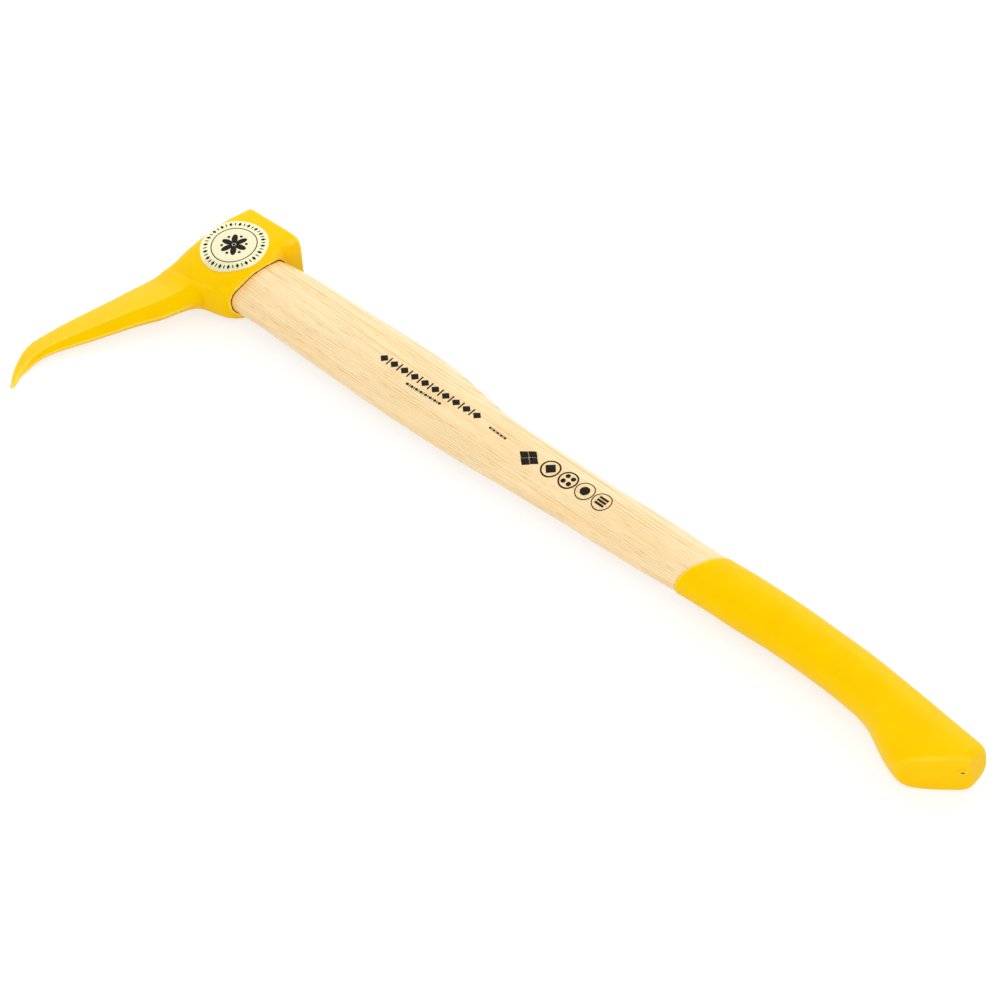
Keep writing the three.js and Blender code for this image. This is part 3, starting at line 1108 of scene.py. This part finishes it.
@dataclass(frozen=True)
class Wedges:
    """The wooden wedge along the tenon's kerf and the round steel ring driven over it."""

    head: Head
    kerf_top: float = 3.8
    kerf_foot: float = 1.4
    kerf_depth: float = 27.0
    ring_radius: float = 6.6
    ring_wall: float = 1.4
    ring_height: float = 13.0
    ring_taper: float = 0.5
    ring_sides: int = 72
    gap: float = 0.3
    edge: float = 0.15

    def kerf_block(self) -> Object:
        """Makes a tapered slab that stands for the kerf.

        Returns:
            The slab.
        """
        growth = (self.kerf_top - self.kerf_foot) / self.kerf_depth
        rings = []
        for x in (-self.head.poll_drop - self.head.overrun, self.kerf_depth):
            middle = np.array([x, -self.head.eye_setback, 0.0])
            along = np.array([0.0, self.head.eye_length, 0.0])
            rings.append(square_ring(middle, along, (self.kerf_top - growth * x) / 2 * SIDE))
        return closed_loft("kerf_block", np.array(rings))

    def tube(self, name: str, gap: float, above: float) -> Object:
        """The tapered steel ring, or with a gap and more height the groove that it lies in.

        Args:
            name: The object's name.
            gap: Added to its walls and its foot.
            above: How far it stands over the tenon's top.

        Returns:
            The object.
        """
        level = float(self.head.top_at(np.array(-self.head.eye_setback), np.array(0.0)))
        top, foot = level - above, level + self.ring_height + gap
        outer, inner = self.ring_radius + gap, self.ring_radius - self.ring_wall - gap
        narrow, edge = self.ring_taper / 2, self.edge
        profile = np.array(
            [
                (inner, top + edge),
                (inner + edge, top),
                (outer - edge, top),
                (outer, top + edge),
                (outer - narrow, foot),
                (inner + narrow, foot),
            ]
        )
        radius, x = profile[:, :1], profile[:, 1:]
        angles = ring_angles(self.ring_sides)
        rings = xyz(x, radius * np.cos(angles) - self.head.eye_setback, radius * np.sin(angles))
        return closed_tube(name, rings)

    def groove(self) -> Object:
        """The groove in the tenon that the steel ring lies in."""
        return self.tube("ring_groove", self.gap, self.head.poll_drop + self.head.overrun)

    def build(self) -> Object:
        """The steel ring."""
        return self.tube("steel_ring", 0.0, 0.0)

    def dress(self, ring: Object) -> None:
        """Gives the wooden wedge and the steel ring their finishes."""
        dress(frame["nodes"]["wooden_wedge"], BeechEndGrain().make(), None)
        dress(ring, BareSteel().make(), "bare_steel", "ring_wedge")


@dataclass(frozen=True)
class JointShadeBead:
    """A dark bead in the joint between the wood and the head's rim: painted shade."""

    head: Head
    thin: float = 0.26
    thick: float = 0.95
    thick_at_nose: float = 10.0
    sink_share: float = 0.3
    inset: float = 0.3
    past_edge: float = 0.9
    steps: int = 160
    sides: int = 10

    def build(self, forging: Surface) -> Object:
        """Makes a bead that runs round the wood, thickest at the nose.

        Args:
            forging: The head's surface.

        Returns:
            The bead.
        """
        path, foot = ring_angles(self.steps), np.array([self.head.height])
        middle = self.head.eye_ring(foot, path, self.inset)[0]
        beside = self.head.eye_ring(foot, path, -self.past_edge)[0]
        out = beside - middle
        out /= np.linalg.norm(out, axis=1)[:, None]
        radius = lerp(self.thin, self.thick, ((1 - np.cos(path)) / 2) ** self.thick_at_nose)
        middle[:, 0] = forging.foot_at(beside[:, 1:]) - self.sink_share * radius
        turned = spokes(ring_angles(self.sides), out[:, None], -DOWN)
        return closed_tube("joint_shade_bead", middle[:, None] + radius[:, None, None] * turned)

    def dress(self, bead: Object) -> None:
        """Gives the bead its dark finish, painted shade."""
        dress(bead, DarkFinish().make(), None)


# Handle


@dataclass(frozen=True)
class Handle:
    """The ash handle: a tenon, a shoulder with a belly, a thin grip and a knob.

    The knob ends square, with a slanted flat at its toe.
    """

    head: Head
    length: float = 500.4
    depth: float = 40.0
    width: float = 23.0
    tenon_dip: float = 0.2
    gap: float = 0.3
    end_ease: float = 3.2
    slant_degrees: float = 50.4
    toe_setback: float = 22.8
    toe_reach: float = 24.2
    squareness: float = 2.15
    knob_squareness: float = 3.1
    hook_bore: float = 1.8
    hook_depth: float = 14.0
    hook_along: float = 27.0
    hook_aside: float = 1.8
    hook_overrun: float = 4.0
    hook_sides: int = 24
    sides: int = 96
    shaft_rings: int = 300
    end_rings: int = 10
    # Run, spike side, poll side and width.
    shares: Rows = (
        (0.093, 0.925, 0.87, 1.02),
        (0.113, 0.915, 0.925, 1.0),
        (0.153, 0.935, 0.965, 0.98),
        (0.195, 0.957, 0.99, 0.98),
        (0.236, 0.972, 1.02, 0.99),
        (0.276, 0.975, 1.035, 1.0),
        (0.316, 0.965, 1.0, 0.99),
        (0.358, 0.935, 0.865, 0.965),
        (0.399, 0.89, 0.725, 0.94),
        (0.441, 0.81, 0.71, 0.925),
        (0.481, 0.76, 0.72, 0.915),
        (0.524, 0.7, 0.72, 0.91),
        (0.564, 0.67, 0.745, 0.91),
        (0.606, 0.62, 0.785, 0.915),
        (0.646, 0.55, 0.785, 0.905),
        (0.689, 0.46, 0.795, 0.9),
        (0.729, 0.44, 0.82, 0.905),
        (0.771, 0.395, 0.82, 0.915),
        (0.811, 0.405, 0.785, 0.935),
        (0.854, 0.46, 0.74, 0.955),
        (0.892, 0.61, 0.65, 0.975),
        (0.931, 1.08, 0.54, 0.965),
        (0.954, 1.26, 0.465, 0.945),
        (0.977, 1.3, 0.395, 0.925),
        (1.0, 1.3, 0.32, 0.925),
    )

    def section(self, x: Array) -> tuple[Array, ...]:
        """The wood at places along the handle.

        Args:
            x: Places down the handle.

        Returns:
            The spike side, the poll side, half the width and the squareness at each place.
        """
        found = read_table(self.shares, np.asarray(x, float) / self.length)
        half = self.depth / 2
        in_knob = smoothstep(x, self.length - self.toe_setback - self.depth, self.length)
        squareness = lerp(self.squareness, self.knob_squareness, in_knob)
        return -found[..., 1] * half, found[..., 2] * half, found[..., 3] * self.width / 2, squareness

    def easing(self, x: Array, skin: float) -> Array:
        """How far the rounding of the square end has drawn in a surface that lies a skin off the wood."""
        rise = np.clip((x - self.length + self.end_ease) / (self.end_ease + skin), 0, 1)
        return self.end_ease * (1 - np.sqrt(1 - rise**2))

    def rings(self, x: Array, angles: Array) -> Array:
        """Rings of the wood along the handle.

        Args:
            x: Places down the handle, one for each ring.
            angles: Angles round a ring.

        Returns:
            Points, shaped (rings, angles, 3).
        """
        front, back, half_width, squareness = (v[:, None] for v in self.section(x))
        drawn_in = self.easing(x, 0.0)[:, None]
        along, across = oval(angles, squareness)
        y = (front + back) / 2 + along * ((back - front) / 2 - drawn_in)
        return xyz(x[:, None], y, across * (half_width - drawn_in))

    def end_frame(self) -> tuple[Array, Array, Array]:
        """Places the knob's slanted flat.

        Returns:
            The toe, the direction along the flat towards the square end, and the direction out of it.
        """
        slant = math.radians(self.slant_degrees)
        toe = np.array([self.length - self.toe_setback, -self.toe_reach, 0.0])
        along = np.array([math.sin(slant), math.cos(slant), 0.0])
        return toe, along, np.array([math.cos(slant), -math.sin(slant), 0.0])

    def hook_mouth(self) -> Array:
        """The middle of the hook's hole on the slanted flat."""
        toe, along, _ = self.end_frame()
        return toe + self.hook_along * along + self.hook_aside * SIDE

    def end_block(self) -> Object:
        """Makes a block whose face is the knob's slanted flat.

        Returns:
            The block.
        """
        toe, along, out = self.end_frame()
        size = 2 * self.depth
        rings = [square_ring(middle, size * along, size * SIDE) for middle in (toe, toe + size * out)]
        return closed_loft("end_block", np.array(rings))

    def hook_pin(self) -> Object:
        """Makes a pin that stands for the hole of the hook that the handle hung from.

        Returns:
            The pin.
        """
        _, along, out = self.end_frame()
        rim = self.hook_mouth() + self.hook_bore / 2 * spokes(ring_angles(self.hook_sides), along, SIDE)
        heights = (self.hook_overrun, -self.hook_depth)
        return closed_loft("hook_pin", np.array([rim + out * height for height in heights]))

    def build(self) -> Object:
        """Turns the stick with its tenon, rounds its square end and cuts the slanted flat.

        Returns:
            The handle.
        """
        angles = ring_angles(self.sides)
        top = self.head.eye_ring(np.zeros(1), angles, self.gap)
        top[0, :, 0] = self.head.top_at(top[0, :, 1], top[0, :, 2]) + self.tenon_dip
        tenon = self.head.eye_ring(np.linspace(0, self.head.height, self.end_rings)[1:], angles, self.gap)
        start, eased = self.shares[0][0] * self.length, self.length - self.end_ease
        shaft = self.rings(np.linspace(start, eased, self.shaft_rings)[:-1], angles)
        turn = np.linspace(0, math.pi / 2, self.end_rings)
        end = self.rings(self.length - self.end_ease * (1 - np.sin(turn)), angles)
        piece = closed_loft("ash_handle", np.concatenate([top, tenon, shaft, end]))
        wedges = Wedges(self.head)
        for cutter in (self.end_block(), self.hook_pin(), wedges.kerf_block(), wedges.groove()):
            cut(piece, cutter)
        return piece

    def dress(self, stick: Object) -> None:
        """Gives the handle its wood."""
        dress(stick, AshWood(hook=tuple(self.hook_mouth())).make(), "ash_wood", "handle")


@dataclass(frozen=True)
class GripCoating:
    """The dip lacquer round the grip: a thin shell with a slanted edge, soft corners and the hook's hole."""

    handle: Handle
    length: float = 165.4
    edge_lean_degrees: float = 25.0
    skin: float = 0.8
    edge_skin: float = 0.45
    inner_skin: float = 0.12
    thinning: float = 14.0
    fillet: float = 1.5
    fillet_rings: int = 7
    rings: int = 230
    inner_rings: int = 90
    sides: int = 120
    search_reach: float = 120.0
    search_steps: int = 1200
    search_rays: int = 360
    halvings: int = 34
    hole_radius: float = 1.05
    nub_height: float = 0.7
    nub_width: float = 0.8
    nub_degrees: float = 60.0
    nub_evenness: float = 0.6
    cap_shares: tuple[float, ...] = (*np.linspace(0.06, 0.8, 12), 0.87, 0.92, 0.955, 0.98, 1.0)
    inner_cap_shares: tuple[float, ...] = (1.0, 0.66, 0.33, 0.0)
    edge_rounds: int = 2

    def outside(self, points: Array, skin: float) -> Array:
        """Tells whether points lie outside the wood grown by a skin.

        Args:
            points: The points, with three coordinates each.
            skin: How thick the skin is.

        Returns:
            One truth value for each point.
        """
        x = points[..., 0]
        front, back, half_width, squareness = self.handle.section(x)
        grown = skin - self.handle.easing(x, skin)
        middle, reach = (front + back) / 2, (back - front) / 2 + grown
        far = np.abs((points[..., 1] - middle) / reach) ** squareness
        far = far + np.abs(points[..., 2] / (half_width + grown)) ** squareness
        return (far > 1) | (x > self.handle.length + skin)

    def leaning_ring(self, cross: float, lean: float, skin: float) -> Array:
        """A ring on the grown wood in a plane that leans.

        Args:
            cross: Where the plane crosses the handle's axis.
            lean: How far the plane leans down the handle on the poll side, in radians.
            skin: How far the ring lies off the wood.

        Returns:
            The ring's points, evenly spaced.
        """
        along = np.array([math.sin(lean), math.cos(lean), 0.0])
        base, reach = cross * DOWN, self.search_reach
        steps = np.linspace(-reach / 2, reach / 2, self.search_steps)
        inside = ~self.outside(base + steps[:, None] * along, skin)
        first, last = np.argmax(inside), len(inside) - 1 - np.argmax(inside[::-1])
        centre = base + (steps[first] + steps[last]) / 2 * along
        rays = spokes(ring_angles(self.search_rays), along, SIDE)
        near, far = np.zeros(len(rays)), np.full(len(rays), reach)
        for _ in range(self.halvings):
            half = (near + far) / 2
            out = self.outside(centre + half[:, None] * rays, skin)
            near, far = np.where(out, near, half), np.where(out, half, far)
        return even_ring(centre + near[:, None] * rays, self.sides)

    def end_cross(self, back: float) -> float:
        """Finds where a plane before the coating's flat face crosses the handle's axis.

        Args:
            back: How far the plane lies before the face.

        Returns:
            X of the crossing.
        """
        toe, _, out = self.handle.end_frame()
        face = toe + (self.skin - back) * out
        return face[0] - face[1] * math.tan(math.radians(self.handle.slant_degrees))

    def skin_rings(self, count: int, skin: float, edge_skin: float, end_back: float) -> list[Array]:
        """Rings from the coating's edge to the slanted flat.

        Args:
            count: How many rings.
            skin: How far they lie off the wood away from the edge.
            edge_skin: How far they lie off it at the edge.
            end_back: How far the last ring lies before the coating's flat face.

        Returns:
            The rings in order.
        """
        start, end = self.handle.length - self.length, self.end_cross(end_back)
        lean, slant = math.radians(self.edge_lean_degrees), math.radians(self.handle.slant_degrees)
        made = []
        for t in np.linspace(0, 1, count):
            thick = lerp(edge_skin, skin, float(smoothstep(t * self.length, 0, self.thinning)))
            made.append(self.leaning_ring(lerp(start, end, t), lerp(lean, slant, t), thick))
        return made

    def end_ring(self, back: float, skin: float) -> Array:
        """A ring parallel to the slanted flat, some way before its face."""
        return self.leaning_ring(self.end_cross(back), math.radians(self.handle.slant_degrees), skin)

    def cap_rings(self, rim: Array, shares: tuple[float, ...], lift: bool) -> list[Array]:
        """Rings over the slanted flat that close in on the hook's hole.

        Args:
            rim: The ring round the flat.
            shares: How far each ring lies on the way to the hole.
            lift: Whether the lacquer stands up round the hole.

        Returns:
            The rings in order.
        """
        _, along, out = self.handle.end_frame()
        hole = self.handle.hook_mouth()
        hole = hole + ((rim.mean(0) - hole) @ out) * out
        away = rim - hole
        away /= np.linalg.norm(away, axis=1)[:, None]
        turn = np.arctan2(away @ SIDE, away @ along) - math.radians(self.nub_degrees)
        uneven = self.nub_evenness + (1 - self.nub_evenness) * np.cos(turn)
        made = []
        for share in shares:
            ring = lerp(rim, hole + self.hole_radius * away, share)
            if lift:
                far = np.linalg.norm(ring - hole, axis=1) - self.hole_radius
                bulge = np.exp(-((far / self.nub_width) ** 2)) * uneven
                ring = ring + (self.nub_height * bulge)[:, None] * out
            made.append(ring)
        return made

    def build(self) -> Object:
        """Winds the shell from its outer skin through the hole and back along its inner skin.

        Returns:
            The shell.
        """
        outer = self.skin_rings(self.rings, self.skin, self.edge_skin, self.fillet)
        for a in np.linspace(0, math.pi / 2, self.fillet_rings)[1:]:
            skin = self.skin - self.fillet * (1 - math.cos(a))
            outer.append(self.end_ring(self.fillet * (1 - math.sin(a)), skin))
        outer += self.cap_rings(outer[-1], self.cap_shares, True)
        wall = self.skin - self.inner_skin
        inner = self.cap_rings(self.end_ring(wall, self.inner_skin), self.inner_cap_shares, False)
        back = self.skin_rings(self.inner_rings, self.inner_skin, self.inner_skin, wall)
        piece = closed_tube("dipped_grip", np.array([*outer, *inner, *back[::-1][1:]]))
        mark_edges(piece, self.edge_rounds)
        return piece

    def dress(self, shell: Object) -> None:
        """Gives the shell its lacquer."""
        # Its edges take a weaker painted highlight.
        dip = YellowLacquer("yellow_dip_lacquer", roughness=0.38, edge_highlight_most=0.4)
        dress(shell, dip.make(), "yellow_dip", "grip_coating")


# Label and prints


# Points along and across a quad, rings and points round a disc or a ring, and the hole in a disc's middle.
QUAD_GRID, ROUND_GRID, DISC_HOLE = (9, 7), (5, 64), 0.02


class Mark(Enum):
    """The plain shapes that a print is made of."""

    RING = "ring"
    DISC = "disc"
    QUAD = "quad"


@dataclass(frozen=True)
class Stroke:
    """One plain shape of a print, in the straight frame's X and Y and in millimetres."""

    mark: Mark
    x: float
    y: float
    half_length: float
    half_width: float
    turn_degrees: float = 0.0
    line: float = 0.0
    taper: float = 1.0

    def flat(self) -> Array:
        """Draws the shape in its plane.

        Returns:
            A grid of points. That of a ring or a disc closes on itself.
        """
        if self.mark is Mark.QUAD:
            u, v = np.meshgrid(*(np.linspace(-1, 1, count) for count in QUAD_GRID), indexing="ij")
            v = v * lerp(1.0, self.taper, np.abs(u))
        else:
            inner = DISC_HOLE if self.mark is Mark.DISC else 1 - self.line / self.half_length
            rings, sides = ROUND_GRID
            share, angle = np.meshgrid(np.linspace(inner, 1, rings), ring_angles(sides), indexing="ij")
            u, v = share * np.cos(angle), share * np.sin(angle)
        turn = math.radians(self.turn_degrees)
        spin = np.array([[math.cos(turn), math.sin(turn)], [-math.sin(turn), math.cos(turn)]])
        return np.stack([u * self.half_length, v * self.half_width], -1) @ spin + np.array([self.x, self.y])


def print_on(name: str, strokes: list[Stroke], surface: Surface, low: float, high: float) -> Object:
    """Prints shapes as one thin film of ink that follows a surface.

    Args:
        name: The object's name.
        strokes: The shapes.
        surface: What they lie on.
        low: How far over the surface the ink begins, in millimetres.
        high: How far over the surface it ends.

    Returns:
        The object.
    """
    points, faces = [], []
    for stroke in strokes:
        flat = stroke.flat()[::-1]
        quads_here = plate_faces(*flat.shape[:2], stroke.mark is not Mark.QUAD)
        faces += [tuple(k + len(points) for k in q) for q in quads_here]
        points += [p for height in (low, high) for p in surface.over(flat, height).reshape(-1, 3)]
    return make_mesh(name, np.array(points), faces)


def around(x: float, y: float, radius: float, degrees: float) -> Range:
    """A place on a circle round another place."""
    turn = math.radians(degrees)
    return x + radius * math.cos(turn), y + radius * math.sin(turn)


@dataclass(frozen=True)
class CheekLabel:
    """The round label on the cheek: cream film with a thin dark ring and a plain rosette."""

    head: Head
    margin: float = 2.45
    drop: float = 0.7
    low: float = 0.06
    high: float = 0.32
    edge: float = 0.12
    sides: int = 128
    inner_share: float = 0.03
    outer_share: float = 0.97
    rings: int = 26
    ink: Range = (0.02, 0.05)
    ring_radius: float = 11.8
    ring_line: float = 0.5
    petals: int = 6
    petal_length: float = 6.2
    petal_width: float = 3.1
    petal_gap: float = 0.9
    petal_turn: float = 12.0
    dot_radius: float = 0.75
    border_radius: float = 14.6
    border_pairs: int = 20
    lozenge: Range = (1.3, 0.85)
    lozenge_taper: float = 0.12
    bar: Range = (0.95, 0.28)

    def centre(self) -> Range:
        """The label's middle on the cheek."""
        return self.head.height / 2 + self.drop, (self.head.poll_reach - self.head.nose_reach) / 2

    def build(self, cheek: Surface) -> Object:
        """Makes a thin disc that follows the cheek.

        Args:
            cheek: The head's surface.

        Returns:
            The disc.
        """
        radius, middle = self.head.height / 2 - self.margin, np.array(self.centre())
        angles = ring_angles(self.sides)
        rim = np.stack([np.cos(angles), np.sin(angles)], 1)
        reaches = radius * np.array([*np.linspace(self.inner_share, self.outer_share, self.rings), 1.0])
        low = [cheek.over(middle + rim * reach, self.low) for reach in reaches]
        side = cheek.over(middle + rim * radius, self.high - self.edge)
        reaches[-1] -= self.edge
        high = [cheek.over(middle + rim * reach, self.high) for reach in reaches]
        return closed_loft("label_disc", np.array([*low, side, *high[::-1]]))

    def print_motif(self, film: Surface) -> Object:
        """Prints a thin ring, a rosette of petals and dots, and lozenges and bars round the border.

        Args:
            film: The label's surface.

        Returns:
            The print.
        """
        middle, dot = self.centre(), (self.dot_radius, self.dot_radius)
        strokes = [Stroke(Mark.RING, *middle, self.ring_radius, self.ring_radius, line=self.ring_line)]
        strokes.append(Stroke(Mark.DISC, *middle, *dot))
        size = (self.petal_length / 2, self.petal_width / 2)
        for k in range(self.petals):
            angle = 360 / self.petals * k + self.petal_turn
            petal = around(*middle, self.petal_gap + self.petal_length / 2, angle)
            strokes.append(Stroke(Mark.DISC, *petal, *size, angle))
            between = around(*middle, self.petal_length, angle + 180 / self.petals)
            strokes.append(Stroke(Mark.DISC, *between, *dot))
        for k in range(self.border_pairs):
            for place, size, taper in ((k, self.lozenge, self.lozenge_taper), (k + 0.5, self.bar, 1.0)):
                angle = 360 * place / self.border_pairs
                mark = around(*middle, self.border_radius, angle)
                strokes.append(Stroke(Mark.QUAD, *mark, *size, angle, taper=taper))
        return print_on("label_print", strokes, film, *self.ink)

    def dress(self, film: Object, motif: Object, ink: Material) -> None:
        """Gives the label its film and its ink."""
        dress(film, LabelFilm(centre=self.centre()).make(), "label_film", "cheek_label")
        dress(motif, ink, None)


@dataclass(frozen=True)
class HandlePrint:
    """The dark print along the handle: rows and a square of lozenges, bars and four plain rings."""

    ink: Range = (0.03, 0.07)
    # Each row's first and last lozenge, how many there are and how high.
    bands: tuple[tuple[Range, Range, int, float], ...] = (
        ((131.0, -1.9), (192.0, 0.5), 10, 4.6),
        ((151.5, -6.3), (172.5, -5.4), 8, 1.7),
        ((202.5, -1.0), (212.5, -1.25), 5, 1.6),
    )
    lozenge_share: float = 0.34
    bar_share: float = 0.06
    band_taper: float = 0.12
    taper: float = 0.08
    square: Range = (229.8, -2.6)
    square_steps: tuple[Range, ...] = ((-3.1, 0.0), (3.1, 0.0), (0.0, -2.6), (0.0, 2.6))
    square_size: Range = (2.9, 2.35)
    ring_radius: float = 5.1
    # Each ring's middle and how thick its line is.
    rings: tuple[Place, ...] = (
        (242.5, -1.0, 0.8),
        (253.8, -0.8, 0.8),
        (264.5, -0.7, 0.5),
        (275.1, -0.5, 0.5),
    )
    ring_lozenge: float = 3.2
    dot_steps: tuple[Range, ...] = ((-1.7, -1.7), (1.7, -1.7), (1.7, 1.7), (-1.7, 1.7))
    dot: float = 1.25
    disc: float = 2.5
    bar_steps: Range = (-1.8, 0.0, 1.8)
    bar: Range = (2.7, 0.6)

    def band(self, start: Range, end: Range, count: int, height: float) -> list[Stroke]:
        """A row of lozenges with short upright bars between them.

        Args:
            start: The middle of the first lozenge.
            end: The middle of the last one.
            count: How many lozenges.
            height: How high they are.

        Returns:
            The strokes.
        """
        pitch = math.dist(start, end) / (count - 1)
        lean = math.degrees(math.atan2(end[1] - start[1], end[0] - start[0]))
        strokes = []
        for k in range(2 * count - 1):
            place = (lerp(a, b, k / 2 / (count - 1)) for a, b in zip(start, end))
            share, taper = (self.bar_share, 1.0) if k % 2 else (self.lozenge_share, self.band_taper)
            strokes.append(Stroke(Mark.QUAD, *place, pitch * share, height / 2, lean, taper=taper))
        return strokes

    def build(self, wood: Surface) -> Object:
        """Prints the marks on the side of the handle.

        Args:
            wood: The handle's surface.

        Returns:
            The print.
        """
        strokes = [stroke for band in self.bands for stroke in self.band(*band)]
        for dx, dy in self.square_steps:
            x, y = self.square[0] + dx, self.square[1] + dy
            strokes.append(Stroke(Mark.QUAD, x, y, *self.square_size, taper=self.taper))
        for x, y, line in self.rings:
            strokes.append(Stroke(Mark.RING, x, y, self.ring_radius, self.ring_radius, line=line))
        (x, y, _), (dots_x, dots_y, _), (disc_x, disc_y, _), (bars_x, bars_y, _) = self.rings
        strokes.append(Stroke(Mark.QUAD, x, y, self.ring_lozenge, self.ring_lozenge, taper=self.taper))
        for dx, dy in self.dot_steps:
            strokes.append(Stroke(Mark.DISC, dots_x + dx, dots_y + dy, self.dot, self.dot))
        strokes.append(Stroke(Mark.DISC, disc_x, disc_y, self.disc, self.disc))
        for dy in self.bar_steps:
            strokes.append(Stroke(Mark.QUAD, bars_x, bars_y + dy, *self.bar))
        return print_on("handle_print", strokes, wood, *self.ink)

    def dress(self, marks: Object, ink: Material) -> None:
        """Gives the print its ink."""
        dress(marks, ink, None)


# Studio


@dataclass(frozen=True)
class Studio:
    """A pale floor, soft light and the photograph's camera."""

    lens: float = 144.0
    film_width: float = 36.0
    clip: Range = (0.05, 50.0)
    camera_place: Place = (1215.64, -781.04, 1385.72)
    camera_right: Place = (0.70084864, 0.704202, -0.11362537)
    camera_up: Place = (-0.47809694, 0.58196355, 0.65783109)
    camera_back: Place = (0.52937179, -0.40671608, 0.74454519)
    sky: float = 0.8
    # Each lamp's name, place and side in metres, and its power in watts.
    lamps: tuple[tuple[str, Place, float, float], ...] = (
        ("key_light", (-0.3, 1.5, 1.1), 1.0, 10.0),
        ("fill_light", (1.0, -1.3, 0.45), 1.4, 9.0),
        ("head_light", (-1.6, 0.2, 0.7), 1.2, 5.0),
    )
    floor_reach: float = 6.0
    paper: float = 0.8
    seen_paper: float = 0.42
    seen_glow: float = 0.67

    def camera(self) -> None:
        """Puts up the photograph's camera, fitted in the straight frame."""
        data = bpy.data.cameras.new("camera")
        data.lens, data.sensor_width = self.lens, self.film_width
        data.clip_start, data.clip_end = self.clip
        camera = link("camera", data)
        turn = Matrix((self.camera_right, self.camera_up, self.camera_back)).transposed().to_4x4()
        place = Matrix.Translation(Vector(self.camera_place) * MM)
        camera.matrix_world = StraightFrame().to_table() @ place @ turn
        bpy.context.scene.camera = camera

    def lamp(self, name: str, place: Place, size: float, power: float) -> None:
        """Hangs a square soft light that faces the tool.

        Args:
            name: The lamp's name.
            place: Where it hangs, in metres.
            size: The length of its side, in metres.
            power: Its power, in watts.
        """
        data = bpy.data.lights.new(name, "AREA")
        data.size, data.energy = size, power
        lamp = link(name, data)
        lamp.location = place
        lamp.rotation_mode = "QUATERNION"
        lamp.rotation_quaternion = (-Vector(place)).to_track_quat("-Z", "Y")

    def seen_directly(self, tree: Tree) -> Socket:
        """Tells what the camera sees, also in a reflection or through glass, from light on the tool.

        Args:
            tree: The tree of the floor or the world.

        Returns:
            1 for what the camera sees and 0 for the light.
        """
        path = add_node(tree, "LightPath").node.outputs
        reflected = (path["Is Glossy Ray"], path["Is Transmission Ray"])
        either = add_node(tree, "Math", reflected, operation="MAXIMUM")
        return add_node(tree, "Math", (path["Is Camera Ray"], either), operation="MAXIMUM")

    def world(self) -> None:
        """Lights the tool evenly from all round, with white behind it for the camera."""
        world = bpy.data.worlds.new("studio")
        bpy.context.scene.world = world
        world.use_nodes = True
        tree = world.node_tree
        strength = add_node(tree, "MapRange", (self.seen_directly(tree), 0.0, 1.0, self.sky, 1.0))
        feed(tree, tree.nodes["Background"], {"Strength": strength, "Color": WHITE})

    def floor(self) -> None:
        """Lays a wide pale floor that looks white but for the tool's soft shadow."""
        half = self.floor_reach
        corners = [(-half, -half, 0), (half, -half, 0), (half, half, 0), (-half, half, 0)]
        mesh = bpy.data.meshes.new("floor")
        mesh.from_pydata(corners, [], [range(4)])
        floor = link("floor", mesh)
        material = bpy.data.materials.new("white_paper")
        material.use_nodes = True
        tree = material.node_tree
        tree.nodes.remove(tree.nodes["Principled BSDF"])
        paper, dim_paper = (
            add_node(tree, "BsdfDiffuse", {"Color": (tone, tone, tone, 1.0)})
            for tone in (self.paper, self.seen_paper)
        )
        glow = add_node(tree, "Emission", {"Color": WHITE, "Strength": self.seen_glow})
        both = add_node(tree, "AddShader", (dim_paper, glow))
        shown = add_node(tree, "MixShader", (self.seen_directly(tree), paper, both))
        feed(tree, tree.nodes["Material Output"], {"Surface": shown})
        mesh.materials.append(material)

    def build(self) -> None:
        """Puts up the camera, the lights and the floor."""
        self.camera()
        self.world()
        for lamp in self.lamps:
            self.lamp(*lamp)
        self.floor()
        bpy.context.scene.view_settings.view_transform = "Standard"


def main() -> None:
    """Builds the studio and the tool."""
    logging.basicConfig(level=logging.INFO, format="%(name)s: %(message)s")
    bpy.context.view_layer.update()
    Studio().build()

    head = Head()
    handle, label = Handle(head), CheekLabel(head)
    joint, wedges, coating, printing = JointShadeBead(head), Wedges(head), GripCoating(handle), HandlePrint()
    forging = head.build()
    forged = Surface(forging)
    film = label.build(forged)
    motif = label.print_motif(Surface(film))
    stick = handle.build()
    marks = printing.build(Surface(stick))
    ink = PrintInk().make()

    head.dress(forging)
    label.dress(film, motif, ink)
    handle.dress(stick)
    printing.dress(marks, ink)
    joint.dress(joint.build(forged))
    wedges.dress(wedges.build())
    coating.dress(coating.build())


if __name__ == "__main__":
    main()
